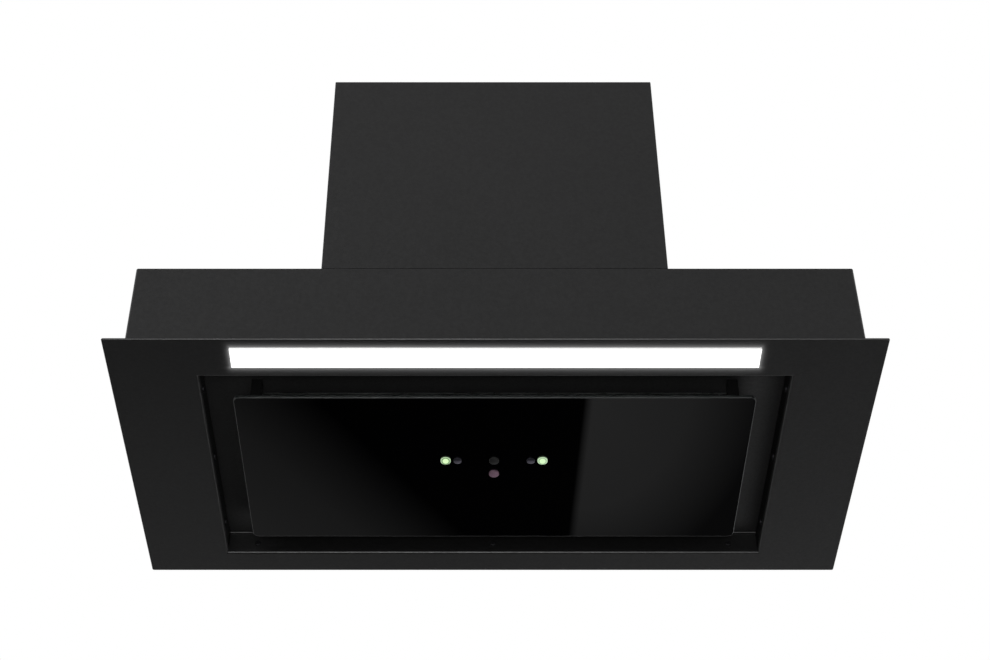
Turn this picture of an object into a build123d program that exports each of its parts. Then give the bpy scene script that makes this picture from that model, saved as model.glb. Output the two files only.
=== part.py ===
from build123d import *
from math import asin, cos, hypot, radians, sin, tan
import os

os.makedirs("parts", exist_ok=True)

# A range hood that is built into a wall cabinet. +X is to the right of a cook who faces it,
# +Y points to the wall and +Z up. The origin is under the middle of the visible underside,
# at the level of the lens tips, which are its lowest points. All sizes are in millimetres.

# Sheet steel, gaps and small fasteners
sheet = 1.0
inner_bend = 0.8
slip = 0.2
running = 0.05
small_screw_radius = 1.5
large_screw_radius = 2.0
screw_clearance = 0.1
case_screw_length = 8.0

# Trim panel, the flat frame that covers the underside of the cabinet
panel_width = 590.0
panel_depth = 302.0
panel_corner = 1.5
panel_edge = 0.35
opening_side_margin = 68.0
opening_front_margin = 43.0
opening_rear_margin = 26.0
recess_depth = 21.0
rear_lip_width = 2.2
rear_lip_height = 1.4
lens_proud = 2.0
trim_screw_rise = 9.5
trim_screw_front_inset = 26.0
trim_screw_middle_shift = -5.5
trim_screw_rear_inset = 32.0
trim_screw_side_inset = 25.0
trim_screw_length = 5.0

# Light strip in the front of the trim panel
light_side_inset = 95.0
light_width = 21.0
light_front = 9.5
diffuser_step = 0.2
diffuser_flange_height = 1.6
diffuser_end_lap = 4.0
channel_wall = 0.8
channel_height = 14.0
channel_top = 1.5
board_thickness = 1.6
led_pitch = 10.0
led_size = 3.0
led_height = 0.8

# Lower housing, which stands in the cabinet, and the motor housing on top of it
side_overhang = 16.0
front_overhang = 7.0
rear_overhang = 15.0
body_height = 79.0
side_foot_flange = 12.0
rear_foot_flange = 7.0
deck_rim = 14.0
motor_box_width = 270.0
cover_flange = 12.0
fixing_hole_radius = 2.5
fixing_spacing = 160.0
fixing_height = 45.0

# Inner frame that carries the filters over the recess
frame_edge_height = 10.0
skirt_height = 16.0
frame_corner = 2.0

# Glass panel and the steel carrier on its back
glass_gap = 24.0
glass_front_gap = 25.6
glass_thickness = 3.2
glass_corner = 5.0
glass_edge = 0.6
carrier_inset = 12.0
carrier_wall = 9.0
strike_width = 12.0
strike_reach = 10.0

# Hinge at the rear of the glass panel
hinge_side_inset = 4.0
hinge_rear_inset = 5.0
hinge_drop = 10.0
hinge_pin_radius = 2.0
knuckle_radius = 4.0
knuckle_width = 8.0
ear_thickness = 1.5
ear_gap = 0.5
hinge_plate_depth = 24.0

# Magnetic catches at the front of the glass panel
catch_side_inset = 5.0
catch_width = 8.5
catch_depth = 9.0
catch_air_gap = 0.4
magnet_radius = 3.0
magnet_height = 3.0

# Motion sensors in the glass: places from the middle of the glass, to the right and to the rear
sensor_row = -13.3
rear_sensor = 3.7
indicator_x = 39.0
indicator_radius = 4.0
infrared_x = 29.5
infrared_radius = 3.2
window_radius = 4.0
lens_crown = 0.6
lens_rim = 0.3
lens_collar = 0.8
lens_collar_height = 1.0
sensor_board_width = 104.0
sensor_board_depth = 44.0
sensor_cover_height = 7.5
plastic_wall = 1.6

# Two grease filter cassettes
filter_width = 188.0
filter_depth = 142.0
filter_height = 9.0
filter_gap = 1.0
filter_rim = 9.0
filter_front_rim = 22.0
filter_skin = 1.0
mesh_height = 5.0
mesh_groove_pitch = 8.0
mesh_groove_depth = 1.2
rear_tab_spread = 47.0
rear_tab_width = 20.0
rear_tab_reach = 5.0
latch_plate_width = 30.0
latch_plate_depth = 11.0
latch_plate_height = 2.8
latch_neck_inset = 13.0
latch_neck_width = 10.0
latch_neck_depth = 3.0
latch_tongue = 4.0
latch_tongue_height = 1.4
latch_travel = 5.0
spring_thickness = 0.4
spring_rise = 2.2

# Outlet collar for a 150 mm duct, with two non-return flaps
spigot_radius = 74.5
spigot_wall = 2.5
spigot_height = 38.0
collar_screw_margin = 3.84
collar_flange_height = 3.0
collar_edge_gap = 1.5
spindle_radius = 2.0
spindle_rise = 12.0
flap_thickness = 1.5
flap_edge_gap = 0.8
flap_knuckle_radius = 4.0
flap_knuckle_gap = 0.8
knuckle_step = 24.0
knuckle_split = 0.5
stop_rib = 3.0
stop_rib_height = 1.5
stop_rib_gap = 0.1

# Centrifugal blower: scroll, wheel and motor on one axis along X
scroll_width = 108.0
scroll_wall = 2.0
scroll_start_radius = 88.0
scroll_step = 9.0
throat_depth = 90.0
throat_rise = 18.5
tongue_radius = 6.0
throat_flange = 10.0
scroll_front_gap = 12.5
scroll_floor_gap = 14.5
wheel_radius = 75.0
wheel_side_gap = 5.0
blade_count = 40
blade_depth = 12.0
blade_thickness = 1.0
blade_slant = 35.0
wheel_disc = 2.0
wheel_rim_height = 2.0
hub_radius = 12.0
hub_length = 20.0
inlet_radius = 61.0
inlet_lip = 1.5
inlet_lip_length = 4.0
inlet_flange_radius = 76.0
inlet_flange_height = 1.5

# Motor inside the left half of the wheel
motor_radius = 48.0
motor_wall = 2.0
motor_length = 38.0
motor_front = -14.0
motor_cap_height = 3.0
shaft_radius = 4.0
shaft_tail = 2.0
bearing_radius = 11.0
bearing_width = 7.0
bearing_seat = 3.0
stator_bore = 28.0
stator_length = 17.0
air_gap = 0.5
winding_height = 1.8
band_gap = 0.1
band_thickness = 1.9
arm_width = 14.0
arm_thickness = 1.5
arm_count = 3
arm_foot_radius = 70.0
grommet_radius = 6.0
grommet_height = 3.0

# Run capacitor on the right wall of the motor housing
capacitor_radius = 15.0
capacitor_length = 60.0
capacitor_front_inset = 48.0
capacitor_rise = 40.0
clip_height = 12.0

# Control box and light driver under the deck of the lower housing
control_width = 104.0
control_depth = 100.0
control_height = 44.0
control_y = 10.0
transformer_length = 32.0
transformer_depth = 28.0
transformer_height = 20.0
relay_length = 18.0
relay_depth = 14.0
relay_height = 15.0
component_shift_x = -25.0
component_shift_y = 22.0
relay_pitch = 30.0
control_board_gap = 4.0
terminal_length = 40.0
terminal_depth = 14.0
terminal_height = 16.0
terminal_shift_x = 22.0
terminal_shift_y = 26.0
terminal_ways = 4
driver_length = 100.0
driver_depth = 40.0
driver_height = 20.0
driver_y = 0.0

# Cable gland for the supply cable, on a plate over a hole in the deck
gland_side_inset = 64.0
gland_rear_inset = 38.0
gland_bore = 3.75
gland_thread_radius = 7.9
gland_body_radius = 10.0
gland_height = 15.0
gland_nut_height = 4.0
entry_plate_width = 64.0
entry_plate_depth = 36.0
entry_hole_width = 38.0
entry_hole_depth = 28.0

# Inner cables
light_cable_radius = 2.0
light_cable_inset = 5.0
motor_cable_radius = 2.5
motor_cable_wall_gap = 23.0
motor_cable_turn_gap = 7.0
cable_grommet_radius = 5.0
cable_grommet_groove = 4.0

# Levels, from the lowest point upwards
underside_z = lens_proud
panel_top_z = underside_z + sheet
ledge_z = underside_z + recess_depth
glass_top_z = underside_z + glass_thickness
carrier_z = glass_top_z + sheet
deck_top_z = panel_top_z + body_height
deck_z = deck_top_z - sheet
scroll_z = deck_top_z + scroll_floor_gap + scroll_wall + scroll_start_radius + scroll_step * 1.5
scroll_top_z = scroll_z + scroll_start_radius - scroll_step / 2
box_roof_z = scroll_top_z + throat_rise
box_top_z = box_roof_z + sheet
motor_box_height = box_top_z - deck_top_z
hinge_z = ledge_z - hinge_drop

# Places in plan
panel_front_y = -panel_depth / 2
opening_width = panel_width - 2 * opening_side_margin
opening_depth = panel_depth - opening_front_margin - opening_rear_margin
opening_y = panel_front_y + opening_front_margin + opening_depth / 2
opening_front_y = panel_front_y + opening_front_margin
opening_rear_y = opening_y + opening_depth / 2
light_length = panel_width - 2 * light_side_inset
light_y = panel_front_y + light_front + light_width / 2
housing_width = panel_width - 2 * side_overhang
housing_depth = panel_depth - front_overhang - rear_overhang
housing_front_y = panel_front_y + front_overhang
housing_y = housing_front_y + housing_depth / 2
glass_width = opening_width - 2 * glass_gap
glass_depth = opening_depth - glass_front_gap - glass_gap
glass_rear_y = opening_rear_y - glass_gap
glass_y = glass_rear_y - glass_depth / 2
hinge_y = glass_rear_y - hinge_rear_inset
carrier_width = glass_width - 2 * carrier_inset
carrier_depth = glass_depth - 2 * carrier_inset
carrier_front_y = glass_y - carrier_depth / 2
carrier_rear_y = glass_y + carrier_depth / 2
hinge_x = carrier_width / 2 - hinge_side_inset
catch_x = carrier_width / 2 - catch_side_inset
filter_opening_width = 2 * filter_width + 3 * filter_gap
filter_opening_depth = filter_depth + 2 * filter_gap
filter_front_y = opening_y - filter_depth / 2
filter_rear_y = opening_y + filter_depth / 2
filter_xs = {"left": -(filter_width + filter_gap) / 2, "right": (filter_width + filter_gap) / 2}

# The blower's axis: in front of the throat, clear of the front wall and of the deck
scroll_y = housing_front_y + sheet + scroll_front_gap + scroll_wall + scroll_start_radius + scroll_step / 2
scroll_rear_y = scroll_y + scroll_start_radius + scroll_step * 2.5
wheel_length = scroll_width - 2 * wheel_side_gap
outlet_screw_x = scroll_width / 2 + scroll_wall + throat_flange / 2
outlet_screw_y = throat_depth / 2 + scroll_wall + throat_flange / 2
collar_flange_radius = hypot(outlet_screw_x, outlet_screw_y) + collar_screw_margin
collar_y = scroll_rear_y - throat_depth / 2
box_rear_y = collar_y + collar_flange_radius + collar_edge_gap
box_shell_depth = box_rear_y - housing_front_y
box_y = housing_front_y + box_shell_depth / 2

# Fittings in the lower housing, in the bays on both sides of the motor housing
bay_x = (motor_box_width / 2 + housing_width / 2 - sheet) / 2
control_x = -bay_x
driver_x = bay_x
gland_x = -(housing_width / 2 - gland_side_inset)
gland_y = housing_front_y + housing_depth - gland_rear_inset
light_cable_x = light_length / 2 - light_cable_inset


def across_axis(x):
    """The plane across the blower's axis at x, with its own X along +Y."""
    return Plane(origin=(x, scroll_y, scroll_z), x_dir=(0, 1, 0), z_dir=(1, 0, 0))


def pan_head_screw(radius, length):
    """One pan-head screw with a cross recess: its head stands on the XY plane and its shank hangs below."""
    head_radius = 1.75 * radius
    head_height = 1.0 * radius
    recess = 0.5 * radius
    with BuildPart() as screw:
        Cylinder(radius, length, align=(Align.CENTER, Align.CENTER, Align.MAX))
        Cylinder(head_radius, head_height, align=(Align.CENTER, Align.CENTER, Align.MIN))
        fillet(screw.edges().group_by(Axis.Z)[-1], radius * 0.5)
        with Locations((0, 0, head_height)):
            Box(head_radius, 0.4 * radius, 2 * recess, mode=Mode.SUBTRACT)
            Box(0.4 * radius, head_radius, 2 * recess, mode=Mode.SUBTRACT)
    return screw.part


def bend_radii(route):
    """The radius of each bend of a cable's route, as large as its two runs allow."""
    radii = []
    for start, corner, end in zip(route, route[1:], route[2:]):
        run_in = Vector(*corner) - Vector(*start)
        run_out = Vector(*end) - Vector(*corner)
        half_turn = radians(run_in.get_angle(run_out)) / 2
        radii.append(0.45 * min(run_in.length, run_out.length) / tan(half_turn))
    print("cable bends", [round(radius, 1) for radius in radii])
    return radii


def edges_of_length(part, z, *lengths):
    """The edges of a part that lie at the height z and have one of the given lengths."""
    level = part.edges().filter_by_position(Axis.Z, z - 0.01, z + 0.01)
    return level.filter_by(lambda edge: min(abs(edge.length - size) for size in lengths) < 0.01)


# Screw places: each plane lies on the surface under the head and looks along the head
trim_screw_z = underside_z + trim_screw_rise
trim_screw_ys = (
    opening_front_y + trim_screw_front_inset,
    opening_y + trim_screw_middle_shift,
    opening_rear_y - trim_screw_rear_inset,
)
trim_screw_places = [
    Plane(origin=(side * opening_width / 2, y, trim_screw_z), z_dir=(-side, 0, 0)).location
    for side in (-1, 1)
    for y in trim_screw_ys
] + [
    Plane(
        origin=(step * (opening_width / 2 - trim_screw_side_inset), opening_rear_y, trim_screw_z),
        z_dir=(0, -1, 0),
    ).location
    for step in (-1, 0, 1)
]
box_foot_screw_x = motor_box_width / 2 - sheet - deck_rim / 2
box_foot_screw_places = [
    Location((side * box_foot_screw_x, box_y + step * box_shell_depth / 3, deck_top_z + sheet))
    for side in (-1, 1)
    for step in (-1, 0, 1)
]
entry_screw_shift = (entry_plate_width + entry_hole_width) / 4
entry_screw_places = [
    Location((gland_x + end * entry_screw_shift, gland_y, deck_top_z + sheet))
    for end in (-1, 1)
]
cover_screw_places = [
    Plane(origin=(side * (motor_box_width / 2 - sheet - cover_flange / 2),
                  box_rear_y + sheet,
                  deck_top_z + motor_box_height / 2 + step * motor_box_height / 3),
          z_dir=(0, 1, 0)).location
    for side in (-1, 1)
    for step in (-1, 0, 1)
]
outlet_screw_places = [
    Location((side * outlet_screw_x, collar_y + end * outlet_screw_y, box_top_z + collar_flange_height))
    for side in (-1, 1)
    for end in (-1, 1)
]

# Trim panel: a flat frame whose opening is folded up into the walls of the recess
light_slot_length = light_length + 2 * slip
light_slot_width = light_width + 2 * slip
with BuildPart() as trim_panel:
    with BuildSketch(Plane.XY.offset(underside_z)):
        RectangleRounded(panel_width, panel_depth, panel_corner)
        with Locations((0, opening_y)):
            Rectangle(opening_width, opening_depth, mode=Mode.SUBTRACT)
    extrude(amount=sheet)
    chamfer(trim_panel.faces().sort_by(Axis.Z)[0].outer_wire().edges(), panel_edge)
    with BuildSketch(Plane.XY.offset(underside_z)):
        with Locations((0, opening_y)):
            Rectangle(opening_width + 2 * sheet, opening_depth + 2 * sheet)
            Rectangle(opening_width, opening_depth, mode=Mode.SUBTRACT)
    extrude(amount=recess_depth)
    fillet(
        edges_of_length(trim_panel, panel_top_z, opening_width + 2 * sheet, opening_depth + 2 * sheet),
        inner_bend,
    )
    fillet(edges_of_length(trim_panel, underside_z, opening_width, opening_depth), inner_bend + sheet)
    with Locations((0, opening_rear_y, ledge_z)):
        Box(opening_width, rear_lip_width, rear_lip_height, align=(Align.CENTER, Align.MAX, Align.MAX))
    fillet(
        trim_panel.edges()
        .filter_by(Axis.X)
        .filter_by_position(Axis.Z, ledge_z - rear_lip_height - 0.01, ledge_z - rear_lip_height + 0.01)
        .sort_by(Axis.Y)[0],
        inner_bend,
    )
    with BuildSketch(Plane.XY.offset(underside_z)):
        with Locations((0, light_y)):
            Rectangle(light_slot_length, light_slot_width)
    extrude(amount=sheet, mode=Mode.SUBTRACT)
    with Locations(*trim_screw_places):
        Cylinder(small_screw_radius + screw_clearance, 4 * sheet, mode=Mode.SUBTRACT)

# Inner frame: the ledge above the recess, with the filter opening and a skirt around the folded walls
skirt_inner_width = opening_width + 2 * (sheet + slip)
skirt_inner_depth = opening_depth + 2 * (sheet + slip)
with BuildPart() as inner_frame:
    with BuildSketch(Plane.XY.offset(ledge_z)) as frame_sketch:
        with Locations((0, housing_y)):
            RectangleRounded(housing_width - 2 * sheet, housing_depth - 2 * sheet, frame_corner)
    extrude(amount=frame_edge_height)
    with BuildSketch(Plane.XY.offset(ledge_z + sheet)):
        with Locations((0, housing_y)):
            RectangleRounded(housing_width - 4 * sheet, housing_depth - 4 * sheet, frame_corner - sheet)
    extrude(amount=frame_edge_height, mode=Mode.SUBTRACT)
    with BuildSketch(Plane.XY.offset(ledge_z)):
        with Locations((0, opening_y)):
            Rectangle(skirt_inner_width + 2 * sheet, skirt_inner_depth + 2 * sheet)
            Rectangle(skirt_inner_width, skirt_inner_depth, mode=Mode.SUBTRACT)
    extrude(amount=-skirt_height)
    with BuildSketch(Plane.XY.offset(ledge_z)):
        with Locations((0, opening_y)):
            Rectangle(filter_opening_width, filter_opening_depth)
        with Locations((light_cable_x, light_y)):
            Circle(cable_grommet_groove)
    extrude(amount=sheet, mode=Mode.SUBTRACT)
    with Locations(*trim_screw_places):
        Cylinder(small_screw_radius + screw_clearance, 2 * trim_screw_length, mode=Mode.SUBTRACT)

# Lower housing: a folded steel box, open below, with a deck that carries the motor housing
deck_opening_width = motor_box_width - 2 * sheet - 2 * deck_rim
deck_opening_depth = box_shell_depth - 2 * deck_rim
fixing_places = [
    Plane(origin=(side * housing_width / 2, housing_y + end * fixing_spacing / 2, panel_top_z + fixing_height),
          z_dir=(side, 0, 0)).location
    for side in (-1, 1)
    for end in (-1, 1)
]
with BuildPart() as lower_housing:
    with BuildSketch(Plane.XY.offset(panel_top_z)):
        with Locations((0, housing_y)):
            RectangleRounded(housing_width, housing_depth, inner_bend + sheet)
    extrude(amount=body_height)
    fillet(lower_housing.faces().sort_by(Axis.Z)[-1].edges(), inner_bend)
    with BuildSketch(Plane.XY.offset(panel_top_z)):
        with Locations((0, housing_y)):
            RectangleRounded(housing_width - 2 * sheet, housing_depth - 2 * sheet, inner_bend)
    extrude(amount=body_height - sheet, mode=Mode.SUBTRACT)
    with BuildSketch(Plane.XY.offset(panel_top_z)):
        for side in (-1, 1):
            with Locations((side * (housing_width / 2 - sheet - side_foot_flange / 2), housing_y)):
                Rectangle(side_foot_flange, housing_depth - 2 * sheet)
        with Locations((0, housing_front_y + housing_depth - sheet - rear_foot_flange / 2)):
            Rectangle(housing_width - 2 * sheet, rear_foot_flange)
    extrude(amount=sheet)
    with BuildSketch(Plane.XY.offset(deck_z)):
        with Locations((0, box_y)):
            Rectangle(deck_opening_width, deck_opening_depth)
        with Locations((gland_x, gland_y)):
            Rectangle(entry_hole_width, entry_hole_depth)
    extrude(amount=sheet, mode=Mode.SUBTRACT)
    with Locations(*box_foot_screw_places, *entry_screw_places):
        Cylinder(large_screw_radius + screw_clearance, 4 * sheet, mode=Mode.SUBTRACT)
    with Locations(*fixing_places):
        Cylinder(fixing_hole_radius, 4 * sheet, mode=Mode.SUBTRACT)

# Motor housing: front, sides and roof in one folded sheet, with a flange around its open back
duct_hole_radius = spigot_radius - spigot_wall
with BuildPart() as motor_housing:
    with BuildSketch(Plane.XY.offset(deck_top_z)):
        with Locations((0, box_y)):
            Rectangle(motor_box_width, box_shell_depth)
    extrude(amount=motor_box_height)
    front_edges = motor_housing.edges().filter_by(Axis.Z).group_by(Axis.Y)[0]
    fillet(front_edges + motor_housing.faces().sort_by(Axis.Z)[-1].edges(), inner_bend)
    with BuildSketch(Plane.XY.offset(deck_top_z)):
        with Locations((0, housing_front_y + sheet)):
            Rectangle(motor_box_width - 2 * sheet, box_shell_depth, align=(Align.CENTER, Align.MIN))
    extrude(amount=motor_box_height - sheet, mode=Mode.SUBTRACT)
    with BuildSketch(Plane.XZ.offset(-box_rear_y)):
        with Locations((0, deck_top_z)):
            Rectangle(motor_box_width - 2 * sheet, motor_box_height - sheet, align=(Align.CENTER, Align.MIN))
        with Locations((0, deck_top_z + cover_flange)):
            Rectangle(
                motor_box_width - 2 * sheet - 2 * cover_flange,
                motor_box_height - sheet - 2 * cover_flange,
                align=(Align.CENTER, Align.MIN),
                mode=Mode.SUBTRACT,
            )
    extrude(amount=sheet)
    with BuildSketch(Plane.XY.offset(box_roof_z)):
        with Locations((0, collar_y)):
            Circle(duct_hole_radius)
    extrude(amount=sheet, mode=Mode.SUBTRACT)
    with Locations(*cover_screw_places, *outlet_screw_places):
        Cylinder(large_screw_radius + screw_clearance, 2 * case_screw_length, mode=Mode.SUBTRACT)

# Base of the motor housing: a flat frame welded into its foot, which is screwed to the deck
with BuildPart() as motor_housing_base:
    with BuildSketch(Plane.XY.offset(deck_top_z)):
        with Locations((0, box_y)):
            Rectangle(motor_box_width - 2 * sheet, box_shell_depth - 2 * sheet)
            Rectangle(deck_opening_width, deck_opening_depth, mode=Mode.SUBTRACT)
    extrude(amount=sheet)
    with Locations(*box_foot_screw_places):
        Cylinder(large_screw_radius + screw_clearance, 4 * sheet, mode=Mode.SUBTRACT)

# Rear cover of the motor housing, a flat plate on six screws
with BuildPart() as motor_housing_cover:
    with BuildSketch(Plane.XZ.offset(-box_rear_y)):
        with Locations((0, deck_top_z)):
            Rectangle(motor_box_width, motor_box_height, align=(Align.CENTER, Align.MIN))
    extrude(amount=-sheet)
    fillet(motor_housing_cover.edges().filter_by(Axis.Y), inner_bend)
    with Locations(*cover_screw_places):
        Cylinder(large_screw_radius + screw_clearance, 4 * sheet, mode=Mode.SUBTRACT)

# Outlet collar, with a rib that stops the flaps and holes for their spindle
collar_plane = Plane(origin=(0, collar_y, box_top_z))
spindle_z = box_top_z + spindle_rise
flap_radius = duct_hole_radius - flap_edge_gap
rib_top_z = spindle_z - flap_thickness / 2 - stop_rib_gap
with BuildPart() as outlet_collar:
    with BuildSketch(collar_plane):
        Circle(collar_flange_radius)
    extrude(amount=collar_flange_height)
    with BuildSketch(collar_plane):
        Circle(spigot_radius)
    extrude(amount=spigot_height)
    chamfer(outlet_collar.faces().sort_by(Axis.Z)[-1].edges(), sheet)
    with BuildSketch(collar_plane):
        Circle(duct_hole_radius)
    extrude(amount=spigot_height, mode=Mode.SUBTRACT)
    with BuildSketch(Plane(origin=(0, collar_y, rib_top_z))):
        Circle(duct_hole_radius)
        Circle(duct_hole_radius - stop_rib, mode=Mode.SUBTRACT)
    extrude(amount=-stop_rib_height)
    with Locations((0, collar_y, spindle_z)):
        Cylinder(spindle_radius, 2 * spigot_radius, rotation=(0, 90, 0), mode=Mode.SUBTRACT)
    with Locations(*outlet_screw_places):
        Cylinder(large_screw_radius + screw_clearance, 2 * case_screw_length, mode=Mode.SUBTRACT)

with BuildPart() as damper_spindle:
    with Locations((0, collar_y, spindle_z)):
        Cylinder(spindle_radius, 2 * spigot_radius - 2 * slip, rotation=(0, 90, 0))


def damper_flap(side, knuckles):
    """Half a disc on one side of the spindle (side is 1 to the rear), with knuckles given as (from x, to x)."""
    flap_start = flap_knuckle_radius + flap_knuckle_gap
    with BuildPart() as flap:
        with BuildSketch(Plane(origin=(0, collar_y, spindle_z - flap_thickness / 2))):
            Circle(flap_radius)
            with Locations((0, side * flap_start)):
                Rectangle(
                    2 * flap_radius,
                    2 * flap_radius,
                    align=(Align.CENTER, Align.MAX if side > 0 else Align.MIN),
                    mode=Mode.SUBTRACT,
                )
        extrude(amount=flap_thickness)
        for low, high in knuckles:
            with Locations(((low + high) / 2, collar_y, spindle_z)):
                Cylinder(flap_knuckle_radius, high - low, rotation=(0, 90, 0))
                Box(
                    high - low,
                    flap_start + flap_thickness,
                    flap_thickness,
                    align=(Align.CENTER, Align.MIN if side > 0 else Align.MAX, Align.CENTER),
                )
        with Locations((0, collar_y, spindle_z)):
            Cylinder(spindle_radius + running, 2 * flap_radius, rotation=(0, 90, 0), mode=Mode.SUBTRACT)
    return flap


front_knuckles = [(x - knuckle_step / 2, x + knuckle_step / 2) for x in (-knuckle_step, knuckle_step)]
rear_knuckle_half = knuckle_step / 2 - knuckle_split
rear_knuckles = [
    (x - rear_knuckle_half, x + rear_knuckle_half)
    for x in (-2 * knuckle_step, 0, 2 * knuckle_step)
]
damper_flap_front = damper_flap(-1, front_knuckles)
damper_flap_rear = damper_flap(1, rear_knuckles)

# Scroll: three quarter arcs of growing radius about the corners of a small square, and a straight throat.
# A curled sheet with a flange under the roof, and two side plates, close it.
half_step = scroll_step / 2
second_radius = scroll_start_radius + scroll_step
third_radius = second_radius + scroll_step
throat_right = half_step + third_radius
throat_left = throat_right - throat_depth
scroll_top = scroll_start_radius - half_step
throat_top = box_roof_z - scroll_z


def scroll_outline():
    """The edge of the scroll's air space in the plane across its axis."""
    CenterArc((-half_step, -half_step), scroll_start_radius, 90, 90)
    CenterArc((half_step, -half_step), second_radius, 180, 90)
    CenterArc((half_step, half_step), third_radius, 270, 90)
    Polyline((throat_right, half_step), (throat_right, throat_top), (throat_left, throat_top),
             (throat_left, scroll_top + tongue_radius))
    CenterArc((throat_left - tongue_radius, scroll_top + tongue_radius), tongue_radius, 270, 90)
    Line((throat_left - tongue_radius, scroll_top), (-half_step, scroll_top))


scroll_side = scroll_width / 2 + scroll_wall
flange_z = box_roof_z - scroll_wall
with BuildPart() as scroll_wrap:
    with BuildSketch(across_axis(-scroll_width / 2)):
        with BuildLine():
            scroll_outline()
        make_face()
        offset(amount=scroll_wall, kind=Kind.INTERSECTION)
    extrude(amount=scroll_width)
    with Locations((0, collar_y, flange_z)):
        Box(
            2 * (scroll_side + throat_flange),
            throat_depth + 2 * (scroll_wall + throat_flange),
            scroll_wall,
            align=(Align.CENTER, Align.CENTER, Align.MIN),
        )
    with Locations((0, scroll_y, box_roof_z)):
        Box(
            2 * scroll_width,
            4 * third_radius,
            4 * scroll_wall,
            align=(Align.CENTER, Align.CENTER, Align.MIN),
            mode=Mode.SUBTRACT,
        )
    with BuildSketch(across_axis(-scroll_width / 2)):
        with BuildLine():
            scroll_outline()
        make_face()
    extrude(amount=scroll_width, mode=Mode.SUBTRACT)
    with Locations(*outlet_screw_places):
        Cylinder(large_screw_radius + screw_clearance, 2 * case_screw_length, mode=Mode.SUBTRACT)

# Side plates of the scroll, each with an inlet ring whose lip reaches into the wheel
with BuildPart() as scroll_sides:
    for side in (-1, 1):
        with BuildSketch(across_axis(side * scroll_width / 2)):
            with BuildLine():
                scroll_outline()
            make_face()
            offset(amount=scroll_wall, kind=Kind.INTERSECTION)
            Circle(inlet_radius, mode=Mode.SUBTRACT)
        extrude(amount=side * scroll_wall)
        with BuildSketch(across_axis(side * scroll_side)):
            Circle(inlet_flange_radius)
            Circle(inlet_radius, mode=Mode.SUBTRACT)
        extrude(amount=side * inlet_flange_height)
        with BuildSketch(across_axis(side * scroll_width / 2)):
            Circle(inlet_radius + inlet_lip)
            Circle(inlet_radius, mode=Mode.SUBTRACT)
        extrude(amount=-side * inlet_lip_length)
    with Locations((0, scroll_y, flange_z)):
        Box(
            2 * scroll_width,
            4 * third_radius,
            4 * scroll_wall,
            align=(Align.CENTER, Align.CENTER, Align.MIN),
            mode=Mode.SUBTRACT,
        )
    with BuildSketch(across_axis(-scroll_width)):
        with PolarLocations(arm_foot_radius, arm_count, start_angle=90):
            Circle(large_screw_radius + screw_clearance)
    extrude(amount=scroll_width, mode=Mode.SUBTRACT)

# Wheel: hub and middle disc, forward-curved blades crimped to the disc's edge, and a rim at each end
blade_ring = wheel_radius - blade_depth / 2
blade_foot = blade_ring - blade_depth / 2
with BuildPart() as impeller:
    for start in (-wheel_length / 2, wheel_length / 2 - wheel_rim_height):
        with BuildSketch(across_axis(start)):
            Circle(wheel_radius)
            Circle(blade_foot, mode=Mode.SUBTRACT)
        extrude(amount=wheel_rim_height)
    with BuildSketch(across_axis(-wheel_disc / 2)):
        Circle(blade_foot)
    extrude(amount=wheel_disc)
    with BuildSketch(across_axis(-hub_length / 2)):
        Circle(hub_radius)
    extrude(amount=hub_length)
    with BuildSketch(across_axis(-hub_length)):
        Circle(shaft_radius)
    extrude(amount=2 * hub_length, mode=Mode.SUBTRACT)

with BuildPart() as impeller_blades:
    with BuildSketch(across_axis(-wheel_length / 2 + wheel_rim_height)):
        with PolarLocations(blade_ring, blade_count):
            Rectangle(blade_depth, blade_thickness, rotation=blade_slant)
    extrude(amount=wheel_length - 2 * wheel_rim_height)

# Motor: a can that is closed in front, its end cap, and inside them the stator, windings and bearings
motor_rear = motor_front - motor_length
front_bearing_x = motor_front - motor_wall - bearing_width
stator_x = (motor_front + motor_rear) / 2 - stator_length / 2
stator_radius = motor_radius - motor_wall
with BuildPart() as motor_casing:
    with BuildSketch(across_axis(motor_rear)):
        Circle(motor_radius)
    extrude(amount=motor_length)
    fillet(motor_casing.faces().sort_by(Axis.X)[-1].edges(), motor_wall)
    with BuildSketch(across_axis(motor_rear)):
        Circle(motor_radius - motor_wall)
    extrude(amount=motor_length - motor_wall, mode=Mode.SUBTRACT)
    with BuildSketch(across_axis(front_bearing_x)):
        Circle(bearing_radius + bearing_seat)
        Circle(bearing_radius, mode=Mode.SUBTRACT)
    extrude(amount=bearing_width)
    with BuildSketch(across_axis(motor_front)):
        Circle(shaft_radius + motor_wall)
    extrude(amount=-motor_length, mode=Mode.SUBTRACT)

with BuildPart() as motor_end_cap:
    with BuildSketch(across_axis(motor_rear)):
        Circle(motor_radius)
    extrude(amount=-motor_cap_height)
    with BuildSketch(across_axis(motor_rear)):
        Circle(bearing_radius + bearing_seat)
    extrude(amount=bearing_width)
    with BuildSketch(across_axis(motor_rear)):
        Circle(bearing_radius)
    extrude(amount=bearing_width, mode=Mode.SUBTRACT)
    with BuildSketch(across_axis(motor_rear)):
        Circle(shaft_radius + motor_wall)
    extrude(amount=-motor_cap_height, mode=Mode.SUBTRACT)

with BuildPart() as motor_bearings:
    for start in (front_bearing_x, motor_rear):
        with BuildSketch(across_axis(start)):
            Circle(bearing_radius)
            Circle(shaft_radius + running, mode=Mode.SUBTRACT)
        extrude(amount=bearing_width)

with BuildPart() as motor_stator:
    with BuildSketch(across_axis(stator_x)):
        Circle(stator_radius)
        Circle(stator_bore, mode=Mode.SUBTRACT)
    extrude(amount=stator_length)

with BuildPart() as motor_windings:
    for start in (stator_x - winding_height, stator_x + stator_length):
        with BuildSketch(across_axis(start)):
            Circle(stator_radius - motor_wall)
            Circle(stator_bore + motor_wall, mode=Mode.SUBTRACT)
        extrude(amount=winding_height)

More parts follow.
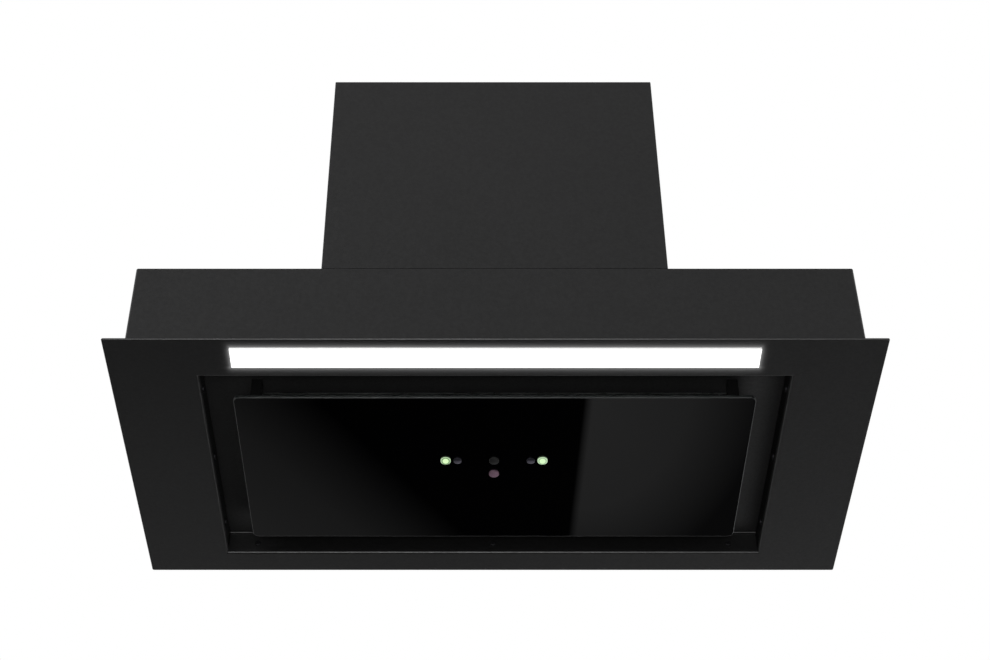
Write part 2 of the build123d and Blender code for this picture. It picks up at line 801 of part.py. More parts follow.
with BuildPart() as motor_rotor:
    with BuildSketch(across_axis(stator_x)):
        Circle(stator_bore - air_gap)
        Circle(shaft_radius, mode=Mode.SUBTRACT)
    extrude(amount=stator_length)

with BuildPart() as motor_shaft:
    with BuildSketch(across_axis(motor_rear - motor_cap_height - shaft_tail)):
        Circle(shaft_radius)
    extrude(amount=hub_length / 2 + shaft_tail - (motor_rear - motor_cap_height - shaft_tail))
    chamfer(motor_shaft.edges(), motor_wall / 4)

# Motor bracket: a band around the can and three arms that stand on rubber grommets
grommet_x = -scroll_side - inlet_flange_height - grommet_height
band_start = grommet_x - arm_thickness
arm_reach = arm_foot_radius + grommet_radius - motor_radius
band_end = motor_rear + motor_length / 4
with BuildPart() as motor_bracket:
    with BuildSketch(across_axis(band_start)):
        with PolarLocations(0, arm_count, start_angle=90):
            with Locations((motor_radius, 0)):
                Rectangle(arm_reach, arm_width, align=(Align.MIN, Align.CENTER))
        Circle(motor_radius + band_gap + band_thickness)
        with PolarLocations(arm_foot_radius, arm_count, start_angle=90):
            Circle(large_screw_radius + screw_clearance, mode=Mode.SUBTRACT)
    extrude(amount=arm_thickness)
    with BuildSketch(across_axis(band_start)):
        Circle(motor_radius + band_gap + band_thickness)
    extrude(amount=band_end - band_start)
    with BuildSketch(across_axis(band_start)):
        Circle(motor_radius + band_gap)
    extrude(amount=band_end - band_start, mode=Mode.SUBTRACT)

motor_screw_length = arm_thickness + grommet_height + inlet_flange_height + scroll_wall
motor_screw = pan_head_screw(large_screw_radius, motor_screw_length)
arm_turns = [radians(90 + arm * 360 / arm_count) for arm in range(arm_count)]
motor_screw_places = [
    Plane(
        origin=(
            band_start,
            scroll_y + arm_foot_radius * cos(turn),
            scroll_z + arm_foot_radius * sin(turn),
        ),
        z_dir=(-1, 0, 0),
    ).location
    for turn in arm_turns
]
with BuildPart() as motor_screws:
    with Locations(*motor_screw_places):
        add(motor_screw)

# Run capacitor and its clip on the right wall
capacitor_x = motor_box_width / 2 - sheet - sheet - capacitor_radius - slip
capacitor_y = housing_front_y + capacitor_front_inset
capacitor_z = deck_top_z + capacitor_rise
with BuildPart() as run_capacitor:
    with Locations((capacitor_x, capacitor_y, capacitor_z)):
        Cylinder(capacitor_radius, capacitor_length, align=(Align.CENTER, Align.CENTER, Align.MIN))
    fillet(run_capacitor.edges(), sheet)

clip_z = capacitor_z + (capacitor_length - clip_height) / 2
with BuildPart() as capacitor_clip:
    with BuildSketch(Plane(origin=(capacitor_x, capacitor_y, clip_z))):
        Circle(capacitor_radius + slip + sheet)
        Circle(capacitor_radius + slip, mode=Mode.SUBTRACT)
        with Locations((capacitor_radius + slip, 0)):
            Rectangle(sheet, 3 * capacitor_radius, align=(Align.MIN, Align.CENTER))
    extrude(amount=clip_height)

# Control box under the deck, its cover, its board and the supply terminals
with BuildPart() as control_box:
    with Locations((control_x, control_y, deck_z)):
        Box(control_width, control_depth, control_height, align=(Align.CENTER, Align.CENTER, Align.MAX))
    fillet(control_box.edges().filter_by(Axis.Z), 2 * plastic_wall)
    with Locations((control_x, control_y, deck_z - plastic_wall)):
        Box(
            control_width - 2 * plastic_wall,
            control_depth - 2 * plastic_wall,
            control_height,
            align=(Align.CENTER, Align.CENTER, Align.MAX),
            mode=Mode.SUBTRACT,
        )
    with Locations((control_x + control_width / 2, control_y, deck_z - control_height / 2)):
        Cylinder(motor_cable_radius + slip, 4 * plastic_wall, rotation=(0, 90, 0), mode=Mode.SUBTRACT)

cover_z = deck_z - control_height
with BuildPart() as control_box_cover:
    with Locations((control_x, control_y, cover_z)):
        Box(control_width, control_depth, plastic_wall, align=(Align.CENTER, Align.CENTER, Align.MAX))
    fillet(control_box_cover.edges().filter_by(Axis.Z), 2 * plastic_wall)
    with Locations((control_x, control_y, cover_z)):
        Box(
            control_width - 2 * plastic_wall - 2 * slip,
            control_depth - 2 * plastic_wall - 2 * slip,
            plastic_wall,
            align=(Align.CENTER, Align.CENTER, Align.MIN),
        )

control_board_z = deck_z - plastic_wall - control_board_gap
with BuildPart() as control_board:
    with Locations((control_x, control_y, control_board_z)):
        Box(
            control_width - 8 * plastic_wall,
            control_depth - 8 * plastic_wall,
            board_thickness,
            align=(Align.CENTER, Align.CENTER, Align.MAX),
        )
    with Locations((control_x + component_shift_x, control_y, control_board_z - board_thickness)):
        with Locations((0, component_shift_y, 0)):
            Box(
                transformer_length,
                transformer_depth,
                transformer_height,
                align=(Align.CENTER, Align.CENTER, Align.MAX),
            )
        with Locations((0, -component_shift_y, 0), (relay_pitch, -component_shift_y, 0)):
            Box(relay_length, relay_depth, relay_height, align=(Align.CENTER, Align.CENTER, Align.MAX))

terminal_x = control_x + terminal_shift_x
terminal_y = control_y + terminal_shift_y
with BuildPart() as terminal_block:
    with Locations((terminal_x, terminal_y, control_board_z - board_thickness)):
        Box(terminal_length, terminal_depth, terminal_height, align=(Align.CENTER, Align.CENTER, Align.MAX))
        with GridLocations(terminal_length / terminal_ways, 0, terminal_ways, 1):
            with Locations((0, 0, -terminal_height)):
                Cylinder(large_screw_radius, terminal_height / 2, mode=Mode.SUBTRACT)

# Supply cable gland with its nut, and the plate that carries it
entry_z = deck_top_z + sheet
with BuildPart() as cable_entry_plate:
    with BuildSketch(Plane.XY.offset(deck_top_z)):
        with Locations((gland_x, gland_y)):
            RectangleRounded(entry_plate_width, entry_plate_depth, inner_bend + sheet)
            Circle(gland_thread_radius + screw_clearance, mode=Mode.SUBTRACT)
    extrude(amount=sheet)
    with Locations(*entry_screw_places):
        Cylinder(large_screw_radius + screw_clearance, 4 * sheet, mode=Mode.SUBTRACT)

with BuildPart() as cable_gland:
    with BuildSketch(Plane(origin=(gland_x, gland_y, entry_z))):
        RegularPolygon(gland_body_radius, 6)
    extrude(amount=gland_height / 3)
    with BuildSketch(Plane(origin=(gland_x, gland_y, entry_z + gland_height / 3))):
        Circle(gland_body_radius - sheet)
    extrude(amount=2 * gland_height / 3)
    fillet(cable_gland.faces().sort_by(Axis.Z)[-1].edges(), 2 * sheet)
    with BuildSketch(Plane(origin=(gland_x, gland_y, entry_z))):
        Circle(gland_thread_radius)
    extrude(amount=-(sheet + gland_nut_height + sheet))
    with Locations((gland_x, gland_y, entry_z)):
        Cylinder(gland_bore, 4 * gland_height, mode=Mode.SUBTRACT)
    with BuildSketch(Plane(origin=(gland_x, gland_y, deck_top_z))):
        RegularPolygon(gland_body_radius + sheet, 6)
        Circle(gland_thread_radius + running, mode=Mode.SUBTRACT)
    extrude(amount=-gland_nut_height)

# Light driver under the deck, on the right
with BuildPart() as light_driver:
    with Locations((driver_x, driver_y, deck_z)):
        Box(driver_length, driver_depth, driver_height, align=(Align.CENTER, Align.CENTER, Align.MAX))
    fillet(light_driver.edges().filter_by(Axis.Z), 2 * plastic_wall)
    fillet(light_driver.faces().sort_by(Axis.Z)[0].edges(), plastic_wall)

# Light strip: opal diffuser, aluminium channel and light board
diffuser_flange_width = light_slot_width + 2 * diffuser_step
diffuser_flange_length = light_length + 2 * diffuser_end_lap
with BuildPart() as light_diffuser:
    with BuildSketch():
        with Locations((0, light_y)):
            Rectangle(light_length, light_width)
    extrude(amount=panel_top_z)
    fillet(light_diffuser.faces().sort_by(Axis.Z)[0].edges(), diffuser_step * 2)
    with BuildSketch(Plane.XY.offset(panel_top_z)):
        with Locations((0, light_y)):
            Rectangle(diffuser_flange_length, diffuser_flange_width)
    extrude(amount=diffuser_flange_height)

channel_inner_width = diffuser_flange_width + diffuser_step
channel_inner_length = diffuser_flange_length + diffuser_step
with BuildPart() as light_channel:
    with Locations((0, light_y, panel_top_z)):
        Box(
            channel_inner_length + 2 * channel_wall,
            channel_inner_width + 2 * channel_wall,
            channel_height,
            align=(Align.CENTER, Align.CENTER, Align.MIN),
        )
        Box(
            channel_inner_length,
            channel_inner_width,
            channel_height - channel_top,
            align=(Align.CENTER, Align.CENTER, Align.MIN),
            mode=Mode.SUBTRACT,
        )
    with Locations((light_cable_x, light_y, panel_top_z + channel_height)):
        Cylinder(light_cable_radius + slip, 4 * channel_top, mode=Mode.SUBTRACT)

led_board_z = panel_top_z + channel_height - channel_top
led_board_length = light_length - 2 * led_pitch
led_count = int(led_board_length // led_pitch) - 1
with BuildPart() as led_board:
    with Locations((-light_cable_radius, light_y, led_board_z)):
        Box(led_board_length, light_width / 2, board_thickness, align=(Align.CENTER, Align.CENTER, Align.MAX))
        with Locations((0, 0, -board_thickness)):
            with GridLocations(led_pitch, 0, led_count, 1):
                Box(led_size, led_size, led_height, align=(Align.CENTER, Align.CENTER, Align.MAX))

# Inner cables: from the driver to the light channel, and from the control box to the motor
light_cable_route = [
    (light_cable_x, driver_y - driver_depth / 2, deck_z - driver_height / 2),
    (light_cable_x, -60.0, 71.0),
    (light_cable_x, -104.0, 60.0),
    (light_cable_x, light_y, 42.0),
    (light_cable_x, light_y, led_board_z),
]
with BuildPart() as light_cable:
    with BuildLine():
        light_cable_path = FilletPolyline(*light_cable_route, radius=bend_radii(light_cable_route))
    with BuildSketch(Plane(origin=light_cable_path @ 0, z_dir=light_cable_path % 0)):
        Circle(light_cable_radius)
    sweep()

# Rubber grommets: one around the light cable in the inner frame, and three under the arms of the bracket
with BuildPart() as rubber_grommets:
    for z, radius in (
        (ledge_z - sheet, cable_grommet_radius),
        (ledge_z, cable_grommet_groove - running),
        (ledge_z + sheet, cable_grommet_radius),
    ):
        with BuildSketch(Plane(origin=(light_cable_x, light_y, z))):
            Circle(radius)
        extrude(amount=sheet)
    with Locations((light_cable_x, light_y, ledge_z)):
        Cylinder(light_cable_radius + running, 6 * sheet, mode=Mode.SUBTRACT)
    with BuildSketch(across_axis(grommet_x)):
        with PolarLocations(arm_foot_radius, arm_count, start_angle=90):
            Circle(grommet_radius)
            Circle(large_screw_radius + screw_clearance, mode=Mode.SUBTRACT)
    extrude(amount=grommet_height)

motor_entry_y = scroll_y + motor_radius / 2
motor_entry_z = scroll_z - motor_radius / 2
motor_cable_x = motor_cable_wall_gap - motor_box_width / 2
motor_cable_route = [
    (control_x + control_width / 2 - plastic_wall, control_y, deck_z - control_height / 2),
    (motor_cable_turn_gap - motor_box_width / 2, control_y, deck_z - control_height / 2),
    (motor_cable_x, 8.0, deck_top_z + 2.0),
    (motor_cable_x, 0.0, deck_top_z + 38.0),
    (motor_cable_x + 3.0, -10.0, deck_top_z + 66.0),
    (-90.0, motor_entry_y, motor_entry_z),
    (motor_rear - motor_cap_height, motor_entry_y, motor_entry_z),
]
with BuildPart() as motor_cable:
    with BuildLine():
        motor_cable_path = FilletPolyline(*motor_cable_route, radius=bend_radii(motor_cable_route))
    with BuildSketch(Plane(origin=motor_cable_path @ 0, z_dir=motor_cable_path % 0)):
        Circle(motor_cable_radius)
    sweep()

# Glass panel: black glass with six round holes for the lenses
sensor_places = {
    "indicator": [(side * indicator_x, glass_y + sensor_row) for side in (-1, 1)],
    "infrared": [(side * infrared_x, glass_y + sensor_row) for side in (-1, 1)],
    "dark_window": [(0, glass_y + sensor_row)],
    "violet_window": [(0, glass_y + rear_sensor)],
}
sensor_radii = {
    "indicator": indicator_radius,
    "infrared": infrared_radius,
    "dark_window": window_radius,
    "violet_window": window_radius,
}
with BuildPart() as glass_panel:
    with BuildSketch(Plane.XY.offset(underside_z)):
        with Locations((0, glass_y)):
            RectangleRounded(glass_width, glass_depth, glass_corner)
    extrude(amount=glass_thickness)
    fillet(
        glass_panel.faces().sort_by(Axis.Z)[0].edges() + glass_panel.faces().sort_by(Axis.Z)[-1].edges(),
        glass_edge,
    )
    with BuildSketch(Plane.XY.offset(underside_z)):
        for kind, places in sensor_places.items():
            with Locations(*places):
                Circle(sensor_radii[kind] + screw_clearance)
    extrude(amount=glass_thickness, mode=Mode.SUBTRACT)

# Carrier: a shallow steel tray bonded to the glass, with strike tabs in front and hinge knuckles behind
with BuildPart() as panel_carrier:
    with BuildSketch(Plane.XY.offset(glass_top_z)):
        with Locations((0, glass_y)):
            Rectangle(carrier_width, carrier_depth)
        for side in (-1, 1):
            with Locations((side * catch_x, carrier_front_y)):
                Rectangle(strike_width, strike_reach, align=(Align.CENTER, Align.MAX))
    extrude(amount=sheet)
    with BuildSketch(Plane.XY.offset(glass_top_z)):
        with Locations((0, glass_y)):
            Rectangle(carrier_width, carrier_depth)
            Rectangle(carrier_width - 2 * sheet, carrier_depth - 2 * sheet, mode=Mode.SUBTRACT)
    extrude(amount=carrier_wall)
    for side in (-1, 1):
        with Locations((side * hinge_x, hinge_y, hinge_z)):
            Cylinder(knuckle_radius, knuckle_width, rotation=(0, 90, 0))
            Box(
                knuckle_width,
                hinge_y - carrier_rear_y + sheet,
                2 * sheet,
                align=(Align.CENTER, Align.MAX, Align.CENTER),
            )
    with Locations((0, hinge_y, hinge_z)):
        Cylinder(hinge_pin_radius + running, panel_width, rotation=(0, 90, 0), mode=Mode.SUBTRACT)
    with BuildSketch(Plane.XY.offset(glass_top_z)):
        for kind, places in sensor_places.items():
            with Locations(*places):
                Circle(sensor_radii[kind] + screw_clearance)
    extrude(amount=sheet, mode=Mode.SUBTRACT)

# Hinge brackets on the inner frame: a plate with two ears each, and their pins
ear_offset = knuckle_width / 2 + ear_gap + ear_thickness / 2
hinge_plate_width = 2 * ear_offset + ear_thickness
with BuildPart() as hinge_brackets:
    for side in (-1, 1):
        with Locations((side * hinge_x, hinge_y - knuckle_radius, ledge_z)):
            Box(
                hinge_plate_width,
                hinge_plate_depth,
                ear_thickness,
                align=(Align.CENTER, Align.MIN, Align.MAX),
            )
        for end in (-1, 1):
            with Locations((side * hinge_x + end * ear_offset, hinge_y, hinge_z)):
                Cylinder(knuckle_radius, ear_thickness, rotation=(0, 90, 0))
                Box(
                    ear_thickness,
                    2 * knuckle_radius,
                    hinge_drop,
                    align=(Align.CENTER, Align.CENTER, Align.MIN),
                )
    with Locations((0, hinge_y, hinge_z)):
        Cylinder(hinge_pin_radius, panel_width, rotation=(0, 90, 0), mode=Mode.SUBTRACT)

with BuildPart() as hinge_pins:
    for side in (-1, 1):
        with Locations((side * hinge_x, hinge_y, hinge_z)):
            Cylinder(hinge_pin_radius, hinge_plate_width, rotation=(0, 90, 0))
        for end in (-1, 1):
            with Locations((side * hinge_x + end * (hinge_plate_width + sheet) / 2, hinge_y, hinge_z)):
                Cylinder(hinge_pin_radius + sheet / 2, sheet, rotation=(0, 90, 0))

# Catches: plastic posts on the inner frame with a magnet over each strike tab
catch_y = carrier_front_y - strike_reach / 2
catch_bottom_z = carrier_z + catch_air_gap
with BuildPart() as panel_catches:
    for side in (-1, 1):
        with Locations((side * catch_x, catch_y, catch_bottom_z)):
            Box(
                catch_width,
                catch_depth,
                ledge_z - catch_bottom_z,
                align=(Align.CENTER, Align.CENTER, Align.MIN),
            )
    fillet(panel_catches.edges().filter_by(Axis.Z), sheet)
    with Locations(*[(side * catch_x, catch_y, catch_bottom_z) for side in (-1, 1)]):
        Cylinder(
            magnet_radius,
            magnet_height,
            align=(Align.CENTER, Align.CENTER, Align.MIN),
            mode=Mode.SUBTRACT,
        )

with BuildPart() as catch_magnets:
    with Locations(*[(side * catch_x, catch_y, catch_bottom_z) for side in (-1, 1)]):
        Cylinder(magnet_radius, magnet_height, align=(Align.CENTER, Align.CENTER, Align.MIN))


def lens(radius):
    """A round lens that stands out below the glass with a domed face, and a collar that sits on the carrier."""
    face_z = underside_z - lens_proud
    ball_radius = (radius**2 + lens_crown**2) / (2 * lens_crown)
    half_angle = asin(radius / ball_radius) / 2
    with BuildPart() as one_lens:
        with BuildSketch(Plane.XZ):
            with BuildLine():
                Polyline(
                    (0, face_z),
                    (0, carrier_z + lens_collar_height),
                    (radius + lens_collar, carrier_z + lens_collar_height),
                    (radius + lens_collar, carrier_z),
                    (radius, carrier_z),
                    (radius, face_z + lens_crown),
                )
                ThreePointArc(
                    (radius, face_z + lens_crown),
                    (ball_radius * sin(half_angle), face_z + ball_radius * (1 - cos(half_angle))),
                    (0, face_z),
                )
            make_face()
        revolve(axis=Axis.Z)
        fillet(one_lens.edges().filter_by(lambda edge: edge.is_closed).sort_by(Axis.Z)[0], lens_rim)
    return one_lens.part


# Lenses of the sensors, their board and the cover over it
indicator_lens = lens(indicator_radius)
infrared_lens = lens(infrared_radius)
window_lens = lens(window_radius)
with BuildPart() as indicator_lenses:
    with Locations(*sensor_places["indicator"]):
        add(indicator_lens)

with BuildPart() as infrared_lenses:
    with Locations(*sensor_places["infrared"]):
        add(infrared_lens)

with BuildPart() as dark_window:
    with Locations(*sensor_places["dark_window"]):
        add(window_lens)

with BuildPart() as violet_window:
    with Locations(*sensor_places["violet_window"]):
        add(window_lens)

sensor_board_y = glass_y + sensor_row + sensor_board_depth / 8
sensor_board_z = carrier_z + lens_collar_height + slip
sensor_chip_size = 5.0
with BuildPart() as sensor_board:
    with Locations((0, sensor_board_y, sensor_board_z)):
        Box(
            sensor_board_width,
            sensor_board_depth,
            board_thickness,
            align=(Align.CENTER, Align.CENTER, Align.MIN),
        )
        with Locations((0, 0, board_thickness)):
            with GridLocations(3 * sensor_chip_size, 3 * sensor_chip_size, 5, 2):
                Box(
                    sensor_chip_size,
                    sensor_chip_size,
                    sheet,
                    align=(Align.CENTER, Align.CENTER, Align.MIN),
                )

sensor_cover_width = sensor_board_width + 2 * (plastic_wall + slip)
sensor_cover_depth = sensor_board_depth + 2 * (plastic_wall + slip)
with BuildPart() as sensor_cover:
    with Locations((0, sensor_board_y, carrier_z)):
        Box(
            sensor_cover_width,
            sensor_cover_depth,
            sensor_cover_height,
            align=(Align.CENTER, Align.CENTER, Align.MIN),
        )
    fillet(sensor_cover.edges().filter_by(Axis.Z), plastic_wall)
    fillet(sensor_cover.faces().sort_by(Axis.Z)[-1].edges(), plastic_wall / 2)
    with Locations((0, sensor_board_y, carrier_z)):
        Box(
            sensor_cover_width - 2 * plastic_wall,
            sensor_cover_depth - 2 * plastic_wall,
            sensor_cover_height - plastic_wall,
            align=(Align.CENTER, Align.CENTER, Align.MIN),
            mode=Mode.SUBTRACT,
        )


# Grease filters: an aluminium frame with a rim, a mesh pack, a sprung latch in front and tabs behind
latch_neck_y = filter_front_y + latch_neck_inset
latch_plate_top_z = ledge_z - slip
latch_tongue_z = ledge_z + sheet + slip
mesh_front_y = filter_front_y + filter_front_rim
mesh_depth = filter_rear_y - filter_skin - mesh_front_y
mesh_y = mesh_front_y + mesh_depth / 2
mesh_z = ledge_z + (filter_height - mesh_height) / 2


def filter_frame(x):
    """The folded frame of a cassette centred at x: a wall all round and a rim above and below."""
    with BuildPart() as frame:
        with Locations((x, opening_y, ledge_z)):
            Box(filter_width, filter_depth, filter_height, align=(Align.CENTER, Align.CENTER, Align.MIN))
            with Locations((0, 0, filter_skin)):
                Box(
                    filter_width - 2 * filter_skin,
                    filter_depth - 2 * filter_skin,
                    filter_height - 2 * filter_skin,
                    align=(Align.CENTER, Align.CENTER, Align.MIN),
                    mode=Mode.SUBTRACT,
                )
        with BuildSketch(Plane.XY.offset(ledge_z)):
            with Locations((x, mesh_front_y)):
                Rectangle(
                    filter_width - 2 * filter_rim,
                    filter_depth - filter_front_rim - filter_rim,
                    align=(Align.CENTER, Align.MIN),
                )
        extrude(amount=filter_height, mode=Mode.SUBTRACT)
        for end in (-1, 1):
            with Locations((x + end * rear_tab_spread, filter_rear_y, latch_tongue_z)):
                Box(
                    rear_tab_width,
                    rear_tab_reach,
                    latch_tongue_height,
                    align=(Align.CENTER, Align.MIN, Align.MIN),
                )
        with Locations((x, latch_neck_y - latch_neck_depth / 2 - slip, ledge_z)):
            Box(
                latch_neck_width + 2 * slip,
                latch_neck_depth + latch_travel + 2 * slip,
                2 * filter_skin,
                align=(Align.CENTER, Align.MIN, Align.CENTER),
                mode=Mode.SUBTRACT,
            )
        with Locations((x, filter_front_y, ledge_z + filter_skin)):
            Box(
                latch_neck_width + 2 * slip,
                4 * filter_skin,
                latch_tongue_height + 2 * slip,
                align=(Align.CENTER, Align.CENTER, Align.MIN),
                mode=Mode.SUBTRACT,
            )
    return frame


def filter_mesh(x):
    """The mesh pack of a cassette: a slab with diagonal grooves on its lower face."""
    with BuildPart() as mesh:
        with Locations((x, mesh_y, mesh_z)):
            Box(
                filter_width - 2 * filter_skin,
                mesh_depth,
                mesh_height,
                align=(Align.CENTER, Align.CENTER, Align.MIN),
            )
        groove_count = int((filter_width - 2 * filter_rim) // mesh_groove_pitch)
        with Locations((x, mesh_y, mesh_z)):
            with GridLocations(mesh_groove_pitch, 0, groove_count, 1):
                Box(
                    mesh_groove_pitch / 2,
                    filter_depth - filter_front_rim - filter_rim - mesh_groove_pitch,
                    2 * mesh_groove_depth,
                    mode=Mode.SUBTRACT,
                )
    return mesh


def filter_latch(x):
    """The latch slider of a cassette: finger plate below, neck, and a tongue over the inner frame."""
    tongue_front_y = filter_front_y - filter_gap - latch_tongue
    with BuildPart() as latch:
        with Locations((x, latch_neck_y, latch_plate_top_z)):
            Box(
                latch_plate_width,
                latch_plate_depth,
                latch_plate_height,
                align=(Align.CENTER, Align.CENTER, Align.MAX),
            )
        fillet(latch.edges().filter_by(Axis.Z), 2 * sheet)
        fillet(latch.faces().sort_by(Axis.Z)[0].edges(), sheet / 2)
        with Locations((x, latch_neck_y, latch_plate_top_z)):
            Box(
                latch_neck_width,
                latch_neck_depth,
                latch_tongue_z + latch_tongue_height - latch_plate_top_z,
                align=(Align.CENTER, Align.CENTER, Align.MIN),
            )
        with Locations((x, tongue_front_y, latch_tongue_z)):
            Box(
                latch_neck_width,
                latch_neck_y - tongue_front_y,
                latch_tongue_height,
                align=(Align.CENTER, Align.MIN, Align.MIN),
            )
    return latch


def latch_spring(x):
    """An arched leaf between the latch's neck and the mesh: its crown rises when the latch is pulled."""
    front_y = latch_neck_y + latch_neck_depth / 2
    crown_y = (front_y + mesh_front_y) / 2
    with BuildPart() as spring:
        with BuildSketch(Plane.YZ.offset(x - latch_neck_width / 2)):
            with BuildLine():
                ThreePointArc(
                    (front_y, latch_tongue_z),
                    (crown_y, latch_tongue_z + spring_rise),
                    (mesh_front_y, latch_tongue_z),
                )
                Line((mesh_front_y, latch_tongue_z), (mesh_front_y - spring_thickness, latch_tongue_z))
                ThreePointArc(
                    (mesh_front_y - spring_thickness, latch_tongue_z),
                    (crown_y, latch_tongue_z + spring_rise - spring_thickness),
                    (front_y + spring_thickness, latch_tongue_z),
                )
                Line((front_y + spring_thickness, latch_tongue_z), (front_y, latch_tongue_z))
            make_face()
        extrude(amount=latch_neck_width)
    return spring


filter_frames = {side: filter_frame(x) for side, x in filter_xs.items()}
filter_meshes = {side: filter_mesh(x) for side, x in filter_xs.items()}
filter_latches = {side: filter_latch(x) for side, x in filter_xs.items()}
latch_springs = {side: latch_spring(x) for side, x in filter_xs.items()}

# Screws: small ones in the walls of the recess, large ones in the motor housing and the collar
trim_screw = pan_head_screw(small_screw_radius, trim_screw_length)
with BuildPart() as trim_screws:
    with Locations(*trim_screw_places):
        add(trim_screw)

case_screw = pan_head_screw(large_screw_radius, case_screw_length)
with BuildPart() as case_screws:
    with Locations(
        *box_foot_screw_places,
        *entry_screw_places,
        *cover_screw_places,
        *outlet_screw_places,
    ):
        add(case_screw)

pieces = {
    "trim_panel": trim_panel,
    "inner_frame": inner_frame,
    "lower_housing": lower_housing,
    "motor_housing": motor_housing,
    "motor_housing_base": motor_housing_base,
    "motor_housing_cover": motor_housing_cover,
    "outlet_collar": outlet_collar,
    "damper_spindle": damper_spindle,
    "damper_flap_front": damper_flap_front,
    "damper_flap_rear": damper_flap_rear,
    "scroll_wrap": scroll_wrap,
    "scroll_sides": scroll_sides,
    "impeller": impeller,
    "impeller_blades": impeller_blades,
    "motor_casing": motor_casing,
    "motor_end_cap": motor_end_cap,
    "motor_bearings": motor_bearings,
    "motor_stator": motor_stator,
    "motor_windings": motor_windings,
    "motor_rotor": motor_rotor,
    "motor_shaft": motor_shaft,
    "motor_bracket": motor_bracket,
    "motor_screws": motor_screws,
    "run_capacitor": run_capacitor,
    "capacitor_clip": capacitor_clip,
    "control_box": control_box,
    "control_box_cover": control_box_cover,
    "control_board": control_board,
    "terminal_block": terminal_block,
    "cable_entry_plate": cable_entry_plate,
    "cable_gland": cable_gland,
    "light_driver": light_driver,
    "light_diffuser": light_diffuser,
    "light_channel": light_channel,
    "led_board": led_board,
    "light_cable": light_cable,
    "rubber_grommets": rubber_grommets,
    "motor_cable": motor_cable,
    "glass_panel": glass_panel,
    "panel_carrier": panel_carrier,
    "hinge_brackets": hinge_brackets,
    "hinge_pins": hinge_pins,
    "panel_catches": panel_catches,
    "catch_magnets": catch_magnets,
    "indicator_lenses": indicator_lenses,
    "infrared_lenses": infrared_lenses,
    "dark_window": dark_window,
    "violet_window": violet_window,
    "sensor_board": sensor_board,
    "sensor_cover": sensor_cover,
    "trim_screws": trim_screws,
    "case_screws": case_screws,
}
for side in filter_xs:
    pieces[f"filter_frame_{side}"] = filter_frames[side]
    pieces[f"filter_mesh_{side}"] = filter_meshes[side]
    pieces[f"filter_latch_{side}"] = filter_latches[side]
    pieces[f"latch_spring_{side}"] = latch_springs[side]

for label, piece in pieces.items():
    piece.part.label = label
    export_step(piece.part, f"parts/{label}.step")
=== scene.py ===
# %% [markdown]
# # A built-in range hood
# The hood hangs in a wall cabinet and is seen from below and in front. Its solids come from CAD: here they
# get their finishes, and the pieces that need a finer form than a machined solid are worked out as surfaces.
# All lengths are in metres, with +X to the right, +Y to the wall and +Z up.

# %% Load the frame
import math

import bmesh
import bpy
import numpy as np
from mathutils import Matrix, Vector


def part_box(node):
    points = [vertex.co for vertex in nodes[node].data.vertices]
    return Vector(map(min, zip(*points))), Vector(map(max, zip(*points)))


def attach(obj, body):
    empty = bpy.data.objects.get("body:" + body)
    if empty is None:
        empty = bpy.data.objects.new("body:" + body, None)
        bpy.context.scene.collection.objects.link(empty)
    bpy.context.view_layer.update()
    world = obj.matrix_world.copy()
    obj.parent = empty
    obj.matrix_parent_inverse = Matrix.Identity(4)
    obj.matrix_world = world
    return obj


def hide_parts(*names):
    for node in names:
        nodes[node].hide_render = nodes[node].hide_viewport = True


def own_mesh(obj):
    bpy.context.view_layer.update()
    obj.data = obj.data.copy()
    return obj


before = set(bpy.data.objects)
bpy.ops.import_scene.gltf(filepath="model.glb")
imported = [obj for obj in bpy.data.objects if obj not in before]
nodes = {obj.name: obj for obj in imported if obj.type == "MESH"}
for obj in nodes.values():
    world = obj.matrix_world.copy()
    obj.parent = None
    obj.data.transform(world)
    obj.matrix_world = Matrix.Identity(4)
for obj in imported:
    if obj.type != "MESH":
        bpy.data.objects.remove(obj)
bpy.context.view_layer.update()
scene = bpy.context.scene
scene.view_settings.view_transform = "Standard"
print("nodes loaded:", len(nodes))

# %% [markdown]
# ## Camera
# The picture was taken from low in front, looking up at the underside. Its lines were measured and the camera
# solved from them: the focal length in pixels gives the lens, and the principal point, which lies a little
# left of the middle because the picture was cropped, gives the sideways shift.

# %% Camera
PICTURE_WIDTH = 990
FOCAL_PIXELS = 1873.6
PRINCIPAL_X = 476.44
CAMERA_PLACE = (-0.0142, -1.1985, -0.9264)
CAMERA_PITCH = 41.831
SENSOR_WIDTH = 36.0

camera_data = bpy.data.cameras.new("camera")
camera_data.sensor_width = SENSOR_WIDTH
camera_data.lens = FOCAL_PIXELS * SENSOR_WIDTH / PICTURE_WIDTH
camera_data.shift_x = (PICTURE_WIDTH / 2 - PRINCIPAL_X) / PICTURE_WIDTH
camera_data.clip_start = 0.01
camera = bpy.data.objects.new("camera", camera_data)
camera.location = CAMERA_PLACE
camera.rotation_euler = (math.radians(90 + CAMERA_PITCH), 0, 0)
scene.collection.objects.link(camera)
scene.camera = camera
print("lens", round(camera_data.lens, 2), "mm")

# %% [markdown]
# ## Node helpers
# Every finish below is a small node graph. Writing each link by hand is long, so these helpers add a node,
# fill its inputs and give back its output. An input takes a plain value or the output of another node. A
# value that is the same all over a surface is typed into the shader's own socket.


# %% Add a node
def fill_socket(tree, socket, value):
    """Join a socket to another node's output, or type a plain value in. A colour without alpha gets 1."""
    if isinstance(value, bpy.types.NodeSocket):
        tree.links.new(value, socket)
    elif socket.type == "RGBA" and len(value) == 3:
        socket.default_value = (*value, 1.0)
    else:
        socket.default_value = value


def add_node(tree, kind, inputs=None, **settings):
    """Add a node of a kind, set its properties, and fill its inputs."""
    node = tree.nodes.new(kind)
    for name, value in settings.items():
        setattr(node, name, value)
    for key, value in (inputs or {}).items():
        fill_socket(tree, node.inputs[key], value)
    return node


